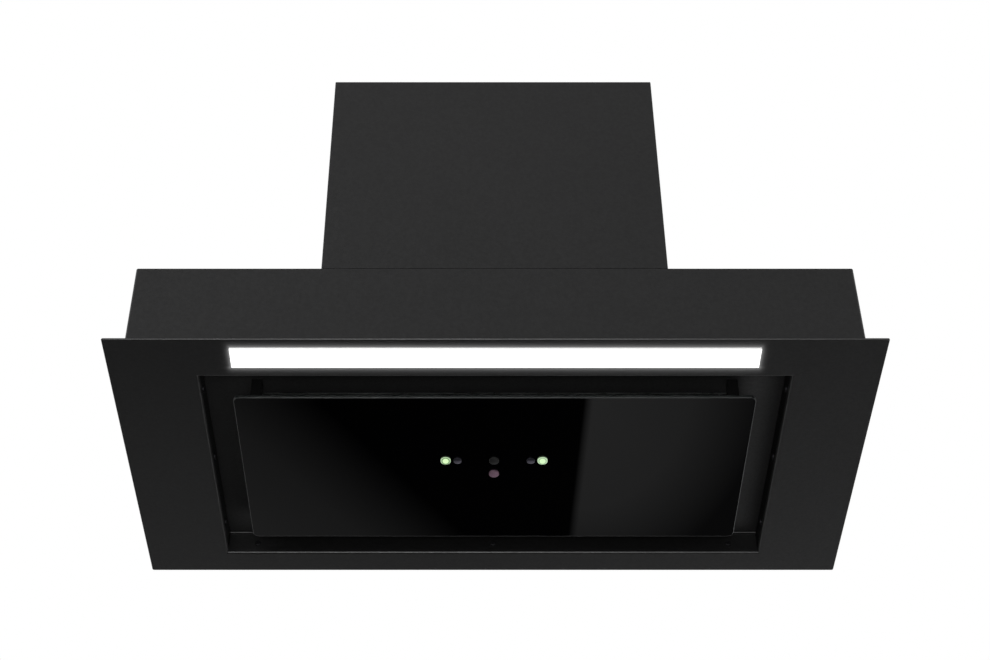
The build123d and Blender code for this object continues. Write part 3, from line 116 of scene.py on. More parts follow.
def new_finish(name, **sockets):
    """A material with one Principled shader, and its uniform values set on the shader itself."""
    material = bpy.data.materials.new(name)
    material.use_nodes = True
    tree = material.node_tree
    shader = tree.nodes["Principled BSDF"]
    for key, value in sockets.items():
        fill_socket(tree, shader.inputs[key.replace("_", " ")], value)
    return material, tree, shader


def link_to(tree, output, shader, socket):
    """Join one output to a socket of the shader."""
    tree.links.new(output, shader.inputs[socket])


# %% Places and noise
def object_position(tree):
    """Where a point lies on the piece, in metres: it stays put when the piece moves."""
    return add_node(tree, "ShaderNodeTexCoord").outputs["Object"]


def position_parts(tree):
    """The same place, as its three parts along X, Y and Z."""
    parts = add_node(tree, "ShaderNodeSeparateXYZ", {"Vector": object_position(tree)})
    return parts.outputs["X"], parts.outputs["Y"], parts.outputs["Z"]


def noise(tree, where, scale, detail=2.0):
    """Soft random values from 0 to 1, with `scale` cells in a metre."""
    inputs = {"Vector": where, "Scale": scale, "Detail": detail}
    return add_node(tree, "ShaderNodeTexNoise", inputs).outputs["Fac"]


# %% Sums
def combine(tree, operation, first, second=0.0):
    """Two values joined by an operation of the Math node, such as a sum. Some need only the first."""
    node = add_node(tree, "ShaderNodeMath", operation=operation)
    fill_socket(tree, node.inputs[0], first)
    fill_socket(tree, node.inputs[1], second)
    return node.outputs[0]


def multiply(tree, first, second):
    """The product of two values."""
    return combine(tree, "MULTIPLY", first, second)


def add_values(tree, first, second):
    """The sum of two values."""
    return combine(tree, "ADD", first, second)


def diagonal_length(tree, first, second):
    """How long the diagonal over two sides is: the root of the sum of their squares."""
    square = add_values(tree, multiply(tree, first, first), multiply(tree, second, second))
    return combine(tree, "SQRT", square)


def remap(tree, value, low, high, new_low, new_high):
    """Move the range low..high of a value to new_low..new_high in a straight line, and clamp the rest."""
    node = add_node(
        tree,
        "ShaderNodeMapRange",
        {"Value": value, "From Min": low, "From Max": high, "To Min": new_low, "To Max": new_high},
    )
    return node.outputs["Result"]


# %% Colours and bumps
def blend_colours(tree, amount, first, second):
    """A colour between two: `amount` 0 gives the first, 1 the second."""
    node = add_node(tree, "ShaderNodeMix", {"Factor": amount}, data_type="RGBA")
    colour_inputs = [socket for socket in node.inputs if socket.type == "RGBA"]
    for socket, colour in zip(colour_inputs, (first, second)):
        fill_socket(tree, socket, colour)
    return [socket for socket in node.outputs if socket.type == "RGBA"][0]


def shaded(colour, share):
    """A colour with each part multiplied by `share`, and no part over 1."""
    return tuple(min(1.0, part * share) for part in colour)


def bump(tree, height, distance):
    """Tilt the surface as if `height` (0 to 1) stood out by `distance` metres."""
    return add_node(tree, "ShaderNodeBump", {"Height": height, "Distance": distance}).outputs["Normal"]


# %% [markdown]
# ## Powder coat
# All the steel that shows is black powder coat. Powder melts into a skin with a fine orange-peel grain, so it
# is matt but not dead: highlights are broad, and single grains catch the light. One could paint this with an
# image, but a noise texture on the piece's own coordinates keeps the grain at its real size, about a
# millimetre, on any piece. Deep in the recess the side walls get painted shade, in both colour and gloss. The
# ledge of the inner frame is a lighter copy of the coat, with painted shade towards the side walls: painted
# light and painted shade.

# %% Powder coat
COAT_GRAIN = 0.0012
GRAIN_DEPTH = 0.05 * COAT_GRAIN
MOTTLES_PER_METRE = 350.0
CLOUDS_PER_METRE = 9.0
# How far the side walls of the recess lie from the middle of the hood
SIDE_WALL = 0.227
# Painted light and shade on the ledge: the band before the wall, its lighter tone and its darker one
CORNER_SHADE_BAND = 0.02
LIT_TONE, SHADED_TONE = 1.1, 0.5
# Painted shade on the side walls of the recess: how far over the panel's face it starts, its band, its loss
PAINTED_SHADE_START = 0.0035
PAINTED_SHADE_BAND = 0.003
PAINTED_SHADE_LOSS = 0.7


def powder_coat(name, shade, roughness=0.42, gloss=0.35, painted_shade_above=None, painted_corner_shade_to=None):
    """Black powder coat of the linear grey `shade`, multiplied by soft clouds and a fine mottle.

    The clouds change the shade by about a tenth, and the mottle by less than a fifth. Above a given height,
    the side walls get painted shade: both their colour and their gloss are much weaker. Where a distance from
    the middle is given, the coat gets painted light nearer the middle, and painted shade over a band before
    that distance.
    """
    material, tree, shader = new_finish(name, Specular_IOR_Level=gloss)
    where = object_position(tree)
    grains = noise(tree, where, 1.0 / COAT_GRAIN, detail=3.0)
    mottle = remap(tree, noise(tree, where, MOTTLES_PER_METRE, detail=1.0), 0.25, 0.75, 0.82, 1.18)
    clouds = remap(tree, noise(tree, where, CLOUDS_PER_METRE, detail=3.0), 0.0, 1.0, 0.9, 1.12)
    level = multiply(tree, multiply(tree, clouds, mottle), shade)
    x, _, height = position_parts(tree)
    across = combine(tree, "ABSOLUTE", x)
    # Painted light and painted shade on the ledge: lighter nearer the middle, darker towards the side walls
    if painted_corner_shade_to is not None:
        tone = remap(tree, across, painted_corner_shade_to - CORNER_SHADE_BAND, painted_corner_shade_to, LIT_TONE, SHADED_TONE)
        level = multiply(tree, level, tone)
    # Painted shade on the side walls of the recess: colour and gloss darker from a height up
    if painted_shade_above is not None:
        high_up = remap(tree, height, painted_shade_above, painted_shade_above + PAINTED_SHADE_BAND, 0.0, PAINTED_SHADE_LOSS)
        on_side_wall = remap(tree, across, SIDE_WALL - 0.0006, SIDE_WALL - 0.0002, 0.0, 1.0)
        cover = add_values(tree, 1.0, multiply(tree, multiply(tree, high_up, on_side_wall), -1.0))
        level = multiply(tree, level, cover)
        link_to(tree, multiply(tree, cover, gloss), shader, "Specular IOR Level")
    bluish = multiply(tree, level, 1.015)
    colour = add_node(tree, "ShaderNodeCombineColor", {"Red": level, "Green": level, "Blue": bluish})
    link_to(tree, colour.outputs["Color"], shader, "Base Color")
    link_to(tree, remap(tree, grains, 0.3, 0.7, roughness - 0.06, roughness + 0.08), shader, "Roughness")
    link_to(tree, bump(tree, grains, GRAIN_DEPTH), shader, "Normal")
    return material


panel_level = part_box("trim_panel")[0][2]
coat = powder_coat("black_powder_coat", 0.016)
# The panel's side walls get painted shade; the frame is a lighter copy of the coat, with painted shade at its
# ends
panel_coat = powder_coat("black_powder_coat_panel", 0.016, painted_shade_above=panel_level + PAINTED_SHADE_START)
frame_coat = powder_coat("black_powder_coat_frame", 0.021, roughness=0.6, painted_corner_shade_to=SIDE_WALL)
# The glass's carrier gets a darker, less glossy copy of the coat: painted shade, as it lies in shade behind
# the glass
painted_shade_coat = powder_coat("black_powder_coat_painted_shade", 0.006, roughness=0.6, gloss=0.15)
print("panel's lower face at", round(panel_level * 1000, 2), "mm")

# %% [markdown]
# ## Halo of the light strip
# Around the light strip the panel shows a halo a few millimetres wide. Lamps give the broad part of the glow,
# but not its steep start. That start is painted light: the panel's coat gives out a little light of its own
# there, which falls by the same share with every step away from the slot, which is an exponent.

# %% Halo of the light strip
# Two corners of the slot in the panel that the strip stands in
SLOT_LOW = (-0.2, -0.1415)
SLOT_HIGH = (0.2, -0.1205)
FRONT_BAND = 0.004
REAR_BAND = 0.002


def paint_halo_glow(material, low, high, strengths, reaches):
    """A faint painted glow around a rectangle: its strength times the exponent of minus the distance over the
    reach.

    `strengths` are those in front of the rectangle, beside its ends and behind it: the second takes over from
    the first in a band behind the front edge, and the third in a band past the rear edge. `reaches` are those
    along X and along Y. Inside the rectangle the distance is 0.
    """
    tree = material.node_tree
    x, y, _ = position_parts(tree)
    beyond = []
    for place, start, end, reach in ((x, low[0], high[0], reaches[0]), (y, low[1], high[1], reaches[1])):
        from_middle = combine(tree, "ABSOLUTE", add_values(tree, place, -(start + end) / 2))
        outside = combine(tree, "MAXIMUM", add_values(tree, from_middle, -(end - start) / 2), 0.0)
        beyond.append(multiply(tree, outside, 1.0 / reach))
    fade = combine(tree, "EXPONENT", multiply(tree, diagonal_length(tree, *beyond), -1.0))
    front, beside, behind = strengths
    up_to_ends = remap(tree, y, low[1], low[1] + FRONT_BAND, front, beside)
    past_rear = remap(tree, y, high[1], high[1] + REAR_BAND, 0.0, behind - beside)
    shader = tree.nodes["Principled BSDF"]
    fill_socket(tree, shader.inputs["Emission Color"], (1.0, 1.0, 1.0))
    link_to(tree, multiply(tree, fade, add_values(tree, up_to_ends, past_rear)), shader, "Emission Strength")


# The panel's coat gets this painted glow around the strip's slot
paint_halo_glow(panel_coat, SLOT_LOW, SLOT_HIGH, strengths=(0.185, 0.34, 0.75), reaches=(0.0013, 0.0019))
print("slot", round(SLOT_HIGH[0] - SLOT_LOW[0], 4), "by", round(SLOT_HIGH[1] - SLOT_LOW[1], 4), "m")

# %% [markdown]
# ## Glass
# The panel is float glass with black enamel on its back. What is seen is nearly all reflection, so the finish
# is a deep black with a polished surface. The faint waviness of tempered glass bends long reflections a
# little. Its edges are ground, which leaves them grey and matt, and they draw the thin pale outline around
# the panel.

# %% Glass
ENAMEL_BLACK = (0.0012, 0.0012, 0.0014)
GROUND_GREY = (0.11, 0.115, 0.115)
# The front edge is darker and shines less than the other edges: painted shade
SHADED_FRONT_EDGE_GREY = (0.03, 0.033, 0.033)
GLOSS, SHADED_FRONT_EDGE_GLOSS = 0.5, 0.17
GROUND_ROUGHNESS = 0.35
SMEARS_PER_METRE = 30.0
WAVES_PER_METRE = 7.0
WAVE_DEPTH = 0.00005


def black_glass(name, corner):
    """Black glass: polished on its lower face, and ground just above it, on its edges.

    `corner` is the low front corner of the panel, where its face and its front edge meet. The front edge is
    painted darker than the others and shines less: painted shade that dims its highlight.
    """
    material, tree, shader = new_finish(name, IOR=1.5)
    where = object_position(tree)
    _, along, height = position_parts(tree)
    _, front, face = corner
    edge = remap(tree, height, face + 0.00001, face + 0.00005, 0.0, 1.0)
    # Painted shade: the front edge is darker and less glossy than the other edges, which dims its highlight
    front_share = remap(tree, along, front + 0.0006, front + 0.0012, 1.0, 0.0)
    shaded_front_share = multiply(tree, edge, front_share)
    link_to(tree, remap(tree, shaded_front_share, 0.0, 1.0, GLOSS, SHADED_FRONT_EDGE_GLOSS), shader, "Specular IOR Level")
    ground = blend_colours(tree, front_share, GROUND_GREY, SHADED_FRONT_EDGE_GREY)
    link_to(tree, blend_colours(tree, edge, ENAMEL_BLACK, ground), shader, "Base Color")
    smears = remap(tree, noise(tree, where, SMEARS_PER_METRE, detail=3.0), 0.45, 0.8, 0.018, 0.026)
    link_to(tree, add_values(tree, smears, multiply(tree, edge, GROUND_ROUGHNESS)), shader, "Roughness")
    waves = noise(tree, where, WAVES_PER_METRE, detail=1.0)
    link_to(tree, bump(tree, waves, WAVE_DEPTH), shader, "Normal")
    return material


glass_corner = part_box("glass_panel")[0]
glass = black_glass("black_glass", glass_corner)
print("glass starts at", [round(v * 1000, 2) for v in glass_corner], "mm")

# %% [markdown]
# ## Light strip
# The diffuser of the light strip is milky plastic lit from inside. A strip of lights behind it would need
# many samples to come through evenly, so the plastic itself glows, and less so towards its root in the panel.

# %% Light strip
# Heights above the strip's face: where the steep fall of its light starts, where that ends, and the root
FACE_END, SIDE_START, SIDE_END = 0.0001, 0.0006, 0.002
FACE_LIGHT, SIDE_LIGHT, ROOT_LIGHT = 1.6, 0.6, 0.2
OPAL_CELLS = 2500.0
OPAL_DEPTH = 0.00002


def opal_plastic(name, glow, face):
    """Milky plastic that gives out its own light: most on its face, at the height `face`, least at its root.

    The strength falls in two straight lines, a steep one at the face's edge and a gentle one over the sides.
    """
    material, tree, shader = new_finish(name, Base_Color=(0.9, 0.9, 0.89), Roughness=0.3, Emission_Color=glow)
    _, _, height = position_parts(tree)
    near_face = remap(tree, height, face + FACE_END, face + SIDE_START, FACE_LIGHT, SIDE_LIGHT)
    near_root = remap(tree, height, face + SIDE_START, face + SIDE_END, 1.0, ROOT_LIGHT / SIDE_LIGHT)
    link_to(tree, multiply(tree, near_face, near_root), shader, "Emission Strength")
    link_to(tree, bump(tree, noise(tree, object_position(tree), OPAL_CELLS), OPAL_DEPTH), shader, "Normal")
    return material


strip_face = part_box("light_diffuser")[0][2]
opal = opal_plastic("opal_diffuser", (1.0, 1.0, 0.985), strip_face)
print("the strip stands", round((panel_level - strip_face) * 1000, 2), "mm proud of the panel")

# %% [markdown]
# ## Lenses
# Each green lens glows. Its lamp sits in the middle and its moulded collar around it, so the glow is drawn by
# the distance from the middle: a bright core, a duller ring, and a paler rim. The small lenses are smoked
# plastic, darker in front and much lighter behind: the lighter rear half is a painted highlight of the light
# from below on each dome. The two windows are even all over. The lamps shine out at a slant, so each
# pattern is laid out along that beam and not straight down, and it looks round to someone who stands in front
# of the hood.

# %% Where a point lies on a lens
LENS_COLLAR = 0.0008
PATTERN_HEIGHT = 0.001
BEAM_SLOPE = math.radians(38)
SQUAT = 0.81


def lens_place(tree, node_name):
    """Where a point lies on a lens, seen along its lamp's beam: sideways and upwards, 1 at the lens's edge.

    A node's box holds the collar behind the glass too, which is wider than the lens by `LENS_COLLAR`.

    The beam leaves each lens downwards and to the front, `BEAM_SLOPE` below the level: upwards is the height
    times the slope's cosine, less the way to the rear times its sine. The pattern's middle lies
    `PATTERN_HEIGHT` above the lens's lowest point, and `SQUAT` is its height as a share of its width. A pair
    of lenses is mirrored, so the distance from the middle of the hood serves both.
    """
    low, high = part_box(node_name)
    collar_radius = (high[1] - low[1]) / 2
    radius = collar_radius - LENS_COLLAR
    x, y, z = position_parts(tree)
    across = add_values(tree, combine(tree, "ABSOLUTE", x), collar_radius - high[0])
    to_rear = add_values(tree, y, -(low[1] + high[1]) / 2)
    height = add_values(tree, z, -low[2] - PATTERN_HEIGHT)
    from_depth = multiply(tree, to_rear, -math.sin(BEAM_SLOPE))
    from_height = multiply(tree, height, math.cos(BEAM_SLOPE))
    upwards = add_values(tree, from_depth, from_height)
    return multiply(tree, across, 1.0 / radius), multiply(tree, upwards, 1.0 / (SQUAT * radius))


# %% Green lenses
GREEN_STOPS = (
    (0.0, (0.76, 1.05, 0.57)),
    (0.57, (0.70, 1.0, 0.53)),
    (0.67, (0.12, 0.2, 0.09)),
    (0.77, (0.12, 0.2, 0.09)),
    (0.87, (0.45, 0.62, 0.38)),
)
WHITISH_GREEN = (0.62, 0.82, 0.56)
WHITISH_SHARE = 0.4
FINE_CELLS = 900.0
LENS_GRAIN_DEPTH = 0.00003


def colour_ramp(tree, value, stops):
    """A colour that runs through a list of (place, colour) stops as the value goes from 0 to 1."""
    node = add_node(tree, "ShaderNodeValToRGB", {"Fac": value})
    elements = node.color_ramp.elements
    elements.remove(elements[1])
    elements[0].position = stops[0][0]
    elements[0].color = (*stops[0][1], 1.0)
    for place, colour in stops[1:]:
        elements.new(place).color = (*colour, 1.0)
    return node.outputs["Color"]


def lamp_lens(name, node_name):
    """Green plastic lit from behind: the glow follows the distance from the middle of each lens.

    The right lens shines more evenly, so its glow is blended with one pale green.
    """
    material, tree, shader = new_finish(
        name, Base_Color=(0.05, 0.08, 0.04), Roughness=0.4, Specular_IOR_Level=0.1, Emission_Strength=1.0
    )
    from_middle = diagonal_length(tree, *lens_place(tree, node_name))
    glow = colour_ramp(tree, from_middle, GREEN_STOPS)
    right = remap(tree, position_parts(tree)[0], -0.001, 0.001, 0.0, WHITISH_SHARE)
    link_to(tree, blend_colours(tree, right, glow, WHITISH_GREEN), shader, "Emission Color")
    grains = noise(tree, object_position(tree), FINE_CELLS)
    link_to(tree, bump(tree, grains, LENS_GRAIN_DEPTH), shader, "Normal")
    return material


green = lamp_lens("green_lens", "indicator_lenses")
print(green.name, "has", len(GREEN_STOPS), "colours from its middle to its rim")

# %% Smoked lenses and windows
FRONT_PART, REAR_PART = 0.35, -0.25
CLOUD_SHARE = 0.25


def smoked_plastic_with_painted_highlight(name, node_name, front, rear):
    """Smoked plastic with dark clouds: one colour in front of its middle, and another behind it. A lighter
    colour behind is a painted highlight.
    """
    material, tree, shader = new_finish(name, Roughness=0.4, Specular_IOR_Level=0.05)
    _, upwards = lens_place(tree, node_name)
    colour = blend_colours(tree, remap(tree, upwards, FRONT_PART, REAR_PART, 0.0, 1.0), front, rear)
    clouds = remap(tree, noise(tree, object_position(tree), FINE_CELLS), 0.3, 0.7, 0.0, CLOUD_SHARE)
    link_to(tree, blend_colours(tree, clouds, colour, (0.0, 0.0, 0.0)), shader, "Base Color")
    return material


# The small lenses are much lighter behind: a painted highlight of the light from below on each dome
smoked = smoked_plastic_with_painted_highlight("smoked_lens", "infrared_lenses", (0.029, 0.029, 0.037), (0.16, 0.152, 0.19))
dark_lens = smoked_plastic_with_painted_highlight("dark_window", "dark_window", (0.034, 0.035, 0.034), (0.037, 0.038, 0.037))
violet = smoked_plastic_with_painted_highlight("violet_window", "violet_window", (0.32, 0.205, 0.267), (0.336, 0.212, 0.283))
print("smoked plastics:", [finish.name for finish in (smoked, dark_lens, violet)])

# %% [markdown]
# ## Metals inside
# Behind the black coat are bare metals: rolled zinc-coated sheet with a faint spangle, drawn aluminium with
# lines along its length, and plain steel. They differ in colour, in roughness and in the direction of their
# scratches. A scratch is noise that is stretched one way, so one graph serves them all.

# %% Metals inside
LINES_PER_METRE = 1800.0
LINE_DEPTH = 0.000012
STAINS_PER_METRE = 18.0


def rolled_metal(name, colour, roughness=0.35, along=(1.0, 1.0, 0.04), spangle=0.0):
    """Bare metal with fine lines: noise that is stretched along each axis whose part of `along` is small.

    `spangle` is the size of one crystal of zinc. Each is darker away from its middle.
    """
    material, tree, shader = new_finish(name, Metallic=1.0)
    where = object_position(tree)
    stretched = add_node(tree, "ShaderNodeMapping", {"Vector": where, "Scale": along}).outputs["Vector"]
    lines = noise(tree, stretched, LINES_PER_METRE, detail=3.0)
    stains = noise(tree, where, STAINS_PER_METRE, detail=3.0)
    base = blend_colours(tree, stains, shaded(colour, 0.86), colour)
    if spangle:
        crystals = add_node(tree, "ShaderNodeTexVoronoi", {"Vector": where, "Scale": 1.0 / spangle})
        tint = remap(tree, crystals.outputs["Distance"], 0.0, 0.8, 0.0, 0.35)
        base = blend_colours(tree, tint, base, shaded(colour, 0.7))
    link_to(tree, base, shader, "Base Color")
    link_to(tree, remap(tree, lines, 0.3, 0.7, roughness - 0.07, roughness + 0.09), shader, "Roughness")
    link_to(tree, bump(tree, lines, LINE_DEPTH), shader, "Normal")
    return material


zinc = rolled_metal("zinc_coated_sheet", (0.56, 0.57, 0.59), roughness=0.38, spangle=0.006)
aluminium = rolled_metal("satin_aluminium", (0.74, 0.75, 0.76), roughness=0.3, along=(0.04, 1.0, 1.0))
mesh_metal = rolled_metal("expanded_aluminium", (0.66, 0.67, 0.68), roughness=0.33)
steel = rolled_metal("bright_steel", (0.6, 0.6, 0.61), roughness=0.25)
copper = rolled_metal("enamelled_copper", (0.62, 0.3, 0.13), roughness=0.3, along=(1.0, 0.1, 1.0))
iron = rolled_metal("stacked_iron", (0.2, 0.2, 0.21), roughness=0.5, along=(0.02, 1.0, 1.0))
black_steel = rolled_metal("blackened_steel", (0.014, 0.014, 0.015), roughness=0.6)
metals = (zinc, aluminium, mesh_metal, steel, copper, iron, black_steel)
print("metals:", [finish.name for finish in metals])

# %% [markdown]
# ## Plastics inside
# Moulded plastic carries the spark-eroded grain of its mould, and its pigment is never quite even. Both are
# noise, a fine one for the grain and a coarse one for the clouds in the colour. Rubber has the deepest grain
# of them.

# %% Plastics inside
PIGMENT_CLOUDS_PER_METRE = 25.0


def moulded_plastic(name, colour, grain=0.0004, roughness=0.45, depth=0.05, gloss=0.5):
    """Injection-moulded plastic: `grain` is the size of one grain, and `depth` its depth as a share of it."""
    material, tree, shader = new_finish(name, Specular_IOR_Level=gloss)
    where = object_position(tree)
    grains = noise(tree, where, 1.0 / grain)
    clouds = noise(tree, where, PIGMENT_CLOUDS_PER_METRE, detail=3.0)
    base = blend_colours(tree, clouds, shaded(colour, 0.93), shaded(colour, 1.06))
    link_to(tree, base, shader, "Base Color")
    link_to(tree, remap(tree, grains, 0.3, 0.7, roughness - 0.05, roughness + 0.05), shader, "Roughness")
    link_to(tree, bump(tree, grains, grain * depth), shader, "Normal")
    return material


black_plastic = moulded_plastic("black_plastic", (0.022, 0.022, 0.024))
# The catches' plastic is duller than the other black plastic, and its darker colour is painted shade: they
# sit deep in the recess
painted_shade_plastic = moulded_plastic("dull_black_plastic_painted_shade", (0.011, 0.011, 0.011), roughness=0.8, gloss=0.08)
grey_plastic = moulded_plastic("grey_plastic", (0.2, 0.21, 0.22))
white_plastic = moulded_plastic("white_plastic", (0.72, 0.72, 0.7))
rubber = moulded_plastic("soft_rubber", (0.02, 0.02, 0.02), grain=0.0006, roughness=0.75, depth=0.1)
sheath = moulded_plastic("cable_sheath", (0.16, 0.16, 0.17), grain=0.0008, roughness=0.55)
plastics = (black_plastic, painted_shade_plastic, grey_plastic, white_plastic, rubber, sheath)
print("plastics:", [finish.name for finish in plastics])

# %% [markdown]
# ## Circuit boards
# A board is green lacquer over copper tracks, so its colour changes where a track runs below. A brick pattern
# on the flat of the board gives right-angled tracks at their real width.

# %% Circuit boards
TRACK_CELLS = 150.0
TRACK_WIDTH = 0.012
TRACK_RISE = 0.00003


def circuit_board(name, lacquer, track):
    """Green lacquer with the paler lines of tracks below it, where a brick wall would have its mortar."""
    material, tree, shader = new_finish(name, Roughness=0.35)
    inputs = {"Vector": object_position(tree), "Scale": TRACK_CELLS, "Mortar Size": TRACK_WIDTH}
    tracks = add_node(tree, "ShaderNodeTexBrick", inputs).outputs["Fac"]
    link_to(tree, blend_colours(tree, tracks, lacquer, track), shader, "Base Color")
    link_to(tree, bump(tree, tracks, TRACK_RISE), shader, "Normal")
    return material


board = circuit_board("circuit_board", (0.012, 0.09, 0.035), (0.03, 0.17, 0.07))
print("materials in the file, with those of the CAD pieces:", len(bpy.data.materials))

# %% [markdown]
# ## Finishes on the CAD pieces
# A CAD piece keeps its shape and only changes its material, so a list of names for each finish is enough. A
# mesh keeps a list of materials: it is emptied first, and then the finish is the only one on it.

# %% Dress the CAD pieces
finishes = {
    coat: ["lower_housing", "motor_housing", "motor_housing_base", "motor_housing_cover"],
    panel_coat: ["trim_panel"],
    frame_coat: ["inner_frame"],
    painted_shade_coat: ["panel_carrier"],
    glass: ["glass_panel"],
    opal: ["light_diffuser"],
    green: ["indicator_lenses"],
    smoked: ["infrared_lenses"],
    dark_lens: ["dark_window"],
    violet: ["violet_window"],
    zinc: ["scroll_wrap", "scroll_sides", "impeller", "impeller_blades", "motor_casing", "motor_end_cap",
           "motor_bracket", "capacitor_clip", "hinge_brackets", "cable_entry_plate"],
    aluminium: ["light_channel", "filter_frame_left", "filter_frame_right"],
    mesh_metal: ["filter_mesh_left", "filter_mesh_right"],
    steel: ["damper_spindle", "motor_bearings", "motor_shaft", "motor_screws", "hinge_pins", "catch_magnets",
            "case_screws", "latch_spring_left", "latch_spring_right"],
    black_steel: ["trim_screws"],
    copper: ["motor_windings"],
    iron: ["motor_stator", "motor_rotor"],
    black_plastic: ["outlet_collar", "damper_flap_front", "damper_flap_rear", "sensor_cover", "cable_gland",
                    "filter_latch_left", "filter_latch_right"],
    painted_shade_plastic: ["panel_catches"],
    grey_plastic: ["control_box", "control_box_cover"],
    white_plastic: ["run_capacitor", "terminal_block", "light_driver"],
    rubber: ["rubber_grommets"],
    sheath: ["light_cable", "motor_cable"],
    board: ["control_board", "led_board", "sensor_board"],
}
for finish, names in finishes.items():
    for name in names:
        nodes[name].data.materials.clear()
        nodes[name].data.materials.append(finish)
dressed = [name for names in finishes.values() for name in names]
print("left bare:", sorted(set(nodes) - set(dressed)))

# %% [markdown]
# ## Surface helpers
# The pieces below are worked out as rings of points and joined into faces by one helper. A row of rings makes
# a tube with a face over each end, and where the last ring joins the first it makes a wheel's rim.


# %% Faces between rings
def ring_faces(rings, columns, close_rings=False):
    """The four-cornered faces between neighbouring rings of `columns` points, counted ring by ring."""
    ring = np.arange(rings if close_rings else rings - 1)
    ring, column = (values.ravel() for values in np.meshgrid(ring, np.arange(columns), indexing="ij"))
    next_ring, next_column = (ring + 1) % rings, (column + 1) % columns
    corners = (ring * columns + column, ring * columns + next_column,
               next_ring * columns + next_column, next_ring * columns + column)
    return np.stack(corners, axis=-1)


def tube_faces(rings, columns):
    """The faces of a tube of rings, with one more face over each end."""
    ends = [range(columns), range((rings - 1) * columns, rings * columns)]
    return [*ring_faces(rings, columns), *ends]


def gather(parts):
    """Join several (points, faces) pairs into one, with the faces counted on."""
    points, faces, start = [], [], 0
    for part_points, part_faces in parts:
        points.append(part_points)
        faces.extend([tuple(int(corner) + start for corner in face) for face in part_faces])
        start += len(part_points)
    return np.concatenate(points), faces


# %% A piece from its surfaces
CREASE_ANGLE = math.radians(35)


def surface_piece(name, parts, finish, body):
    """A mesh object of several (points, faces) pairs, with one finish, that rides on a body.

    Its faces point outwards, and it is shaded smooth except where they meet at more than the crease angle.
    """
    points, faces = gather(parts)
    mesh = bpy.data.meshes.new(name)
    mesh.from_pydata(points.tolist(), [], faces)
    shape = bmesh.new()
    shape.from_mesh(mesh)
    bmesh.ops.recalc_face_normals(shape, faces=shape.faces)
    shape.to_mesh(mesh)
    shape.free()
    mesh.shade_smooth()
    mesh.set_sharp_from_angle(angle=CREASE_ANGLE)
    mesh.materials.append(finish)
    piece = bpy.data.objects.new(name, mesh)
    scene.collection.objects.link(piece)
    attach(piece, body)
    return piece


# %% [markdown]
# ## Expanded mesh of the grease filters
# Expanded mesh is a sheet that is slit and pulled open. Each strand is a flat strip that swings between its
# two neighbours: its middle follows a cosine, every second one half a wave ahead, so they touch at the peaks
# and leave diamonds between. The strips lean out of the sheet, which is what catches the light. Layers with
# strands along X and along Y lie on each other. One could cut holes in a plate instead, but it would lack
# this lean.

# %% One layer of expanded mesh
STRAND_WIDTH = 0.0013
STRAND_THICKNESS = 0.0004
STRAND_LEAN = math.radians(38)
STEPS_PER_WAVE = 4


def expanded_layer(low, high, level, wave, gap, across):
    """One layer between two corners, its strands along X, or along Y where `across` is set.

    A strand's middle lies at its own place plus half the gap times a cosine with the length `wave`, and
    neighbours swing opposite ways. The four corners of its section are turned by the lean.
    """
    along_low, along_high = (low[1], high[1]) if across else (low[0], high[0])
    side_low, side_high = (low[0], high[0]) if across else (low[1], high[1])
    count = int((side_high - side_low - STRAND_WIDTH) // gap)
    steps = int((along_high - along_low) / wave * STEPS_PER_WAVE) + 1
    along = np.linspace(along_low, along_high, steps)
    first = (side_low + side_high - (count - 1) * gap) / 2
    wide = np.array([math.cos(STRAND_LEAN), math.sin(STRAND_LEAN)]) * STRAND_WIDTH / 2
    thick = np.array([-math.sin(STRAND_LEAN), math.cos(STRAND_LEAN)]) * STRAND_THICKNESS / 2
    corners = np.array([wide + thick, wide - thick, -wide - thick, -wide + thick])
    faces = tube_faces(steps, len(corners))
    strands = []
    for number in range(count):
        swing = (-1) ** number * (gap / 2) * np.cos(2 * math.pi * (along - along_low) / wave)
        side = (first + number * gap + swing)[:, None] + corners[:, 0]
        height = level + np.broadcast_to(corners[:, 1], side.shape)
        run = np.broadcast_to(along[:, None], side.shape)
        points = np.stack((side, run, height) if across else (run, side, height), axis=-1)
        strands.append((points.reshape(-1, 3), faces))
    return strands


# %% Mesh packs
# For each layer: its height above the pack's foot, the length of its waves, the gap between its strands, and
# whether these run along Y
MESH_LAYERS = ((0.0008, 0.010, 0.0031, False), (0.0022, 0.012, 0.0040, True), (0.0038, 0.014, 0.0050, False))

for side in ("left", "right"):
    low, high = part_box(f"filter_mesh_{side}")
    strands = []
    for rise, wave, gap, across in MESH_LAYERS:
        strands += expanded_layer(low, high, low[2] + rise, wave, gap, across)
    mesh_pack = surface_piece(f"mesh_pack_{side}", strands, mesh_metal, "housing")
    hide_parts(f"filter_mesh_{side}")
    print("mesh pack", side, len(strands), "strands,", len(mesh_pack.data.vertices), "points")

# %% [markdown]
# ## Latch springs
# Behind each filter latch sits an arched leaf of spring steel, and the latch squeezes it against the mesh
# when it is pulled. The leaf is a surface here, a strip bent into an arc.

# %% Latch springs
LEAF_THICKNESS = 0.0004
LEAF_STEPS = 33


def arc_points(start, end, rise, base):
    """The sideways and upward places of points on an arc that rises between two ends at the level `base`.

    Half the chord and the rise give the radius: the sum of their squares over twice the rise.
    """
    half = (end - start) / 2
    radius = (half**2 + rise**2) / (2 * rise)
    reach = math.asin(half / radius)
    angle = np.linspace(-reach, reach, LEAF_STEPS)
    return start + half + radius * np.sin(angle), base + rise - radius + radius * np.cos(angle)


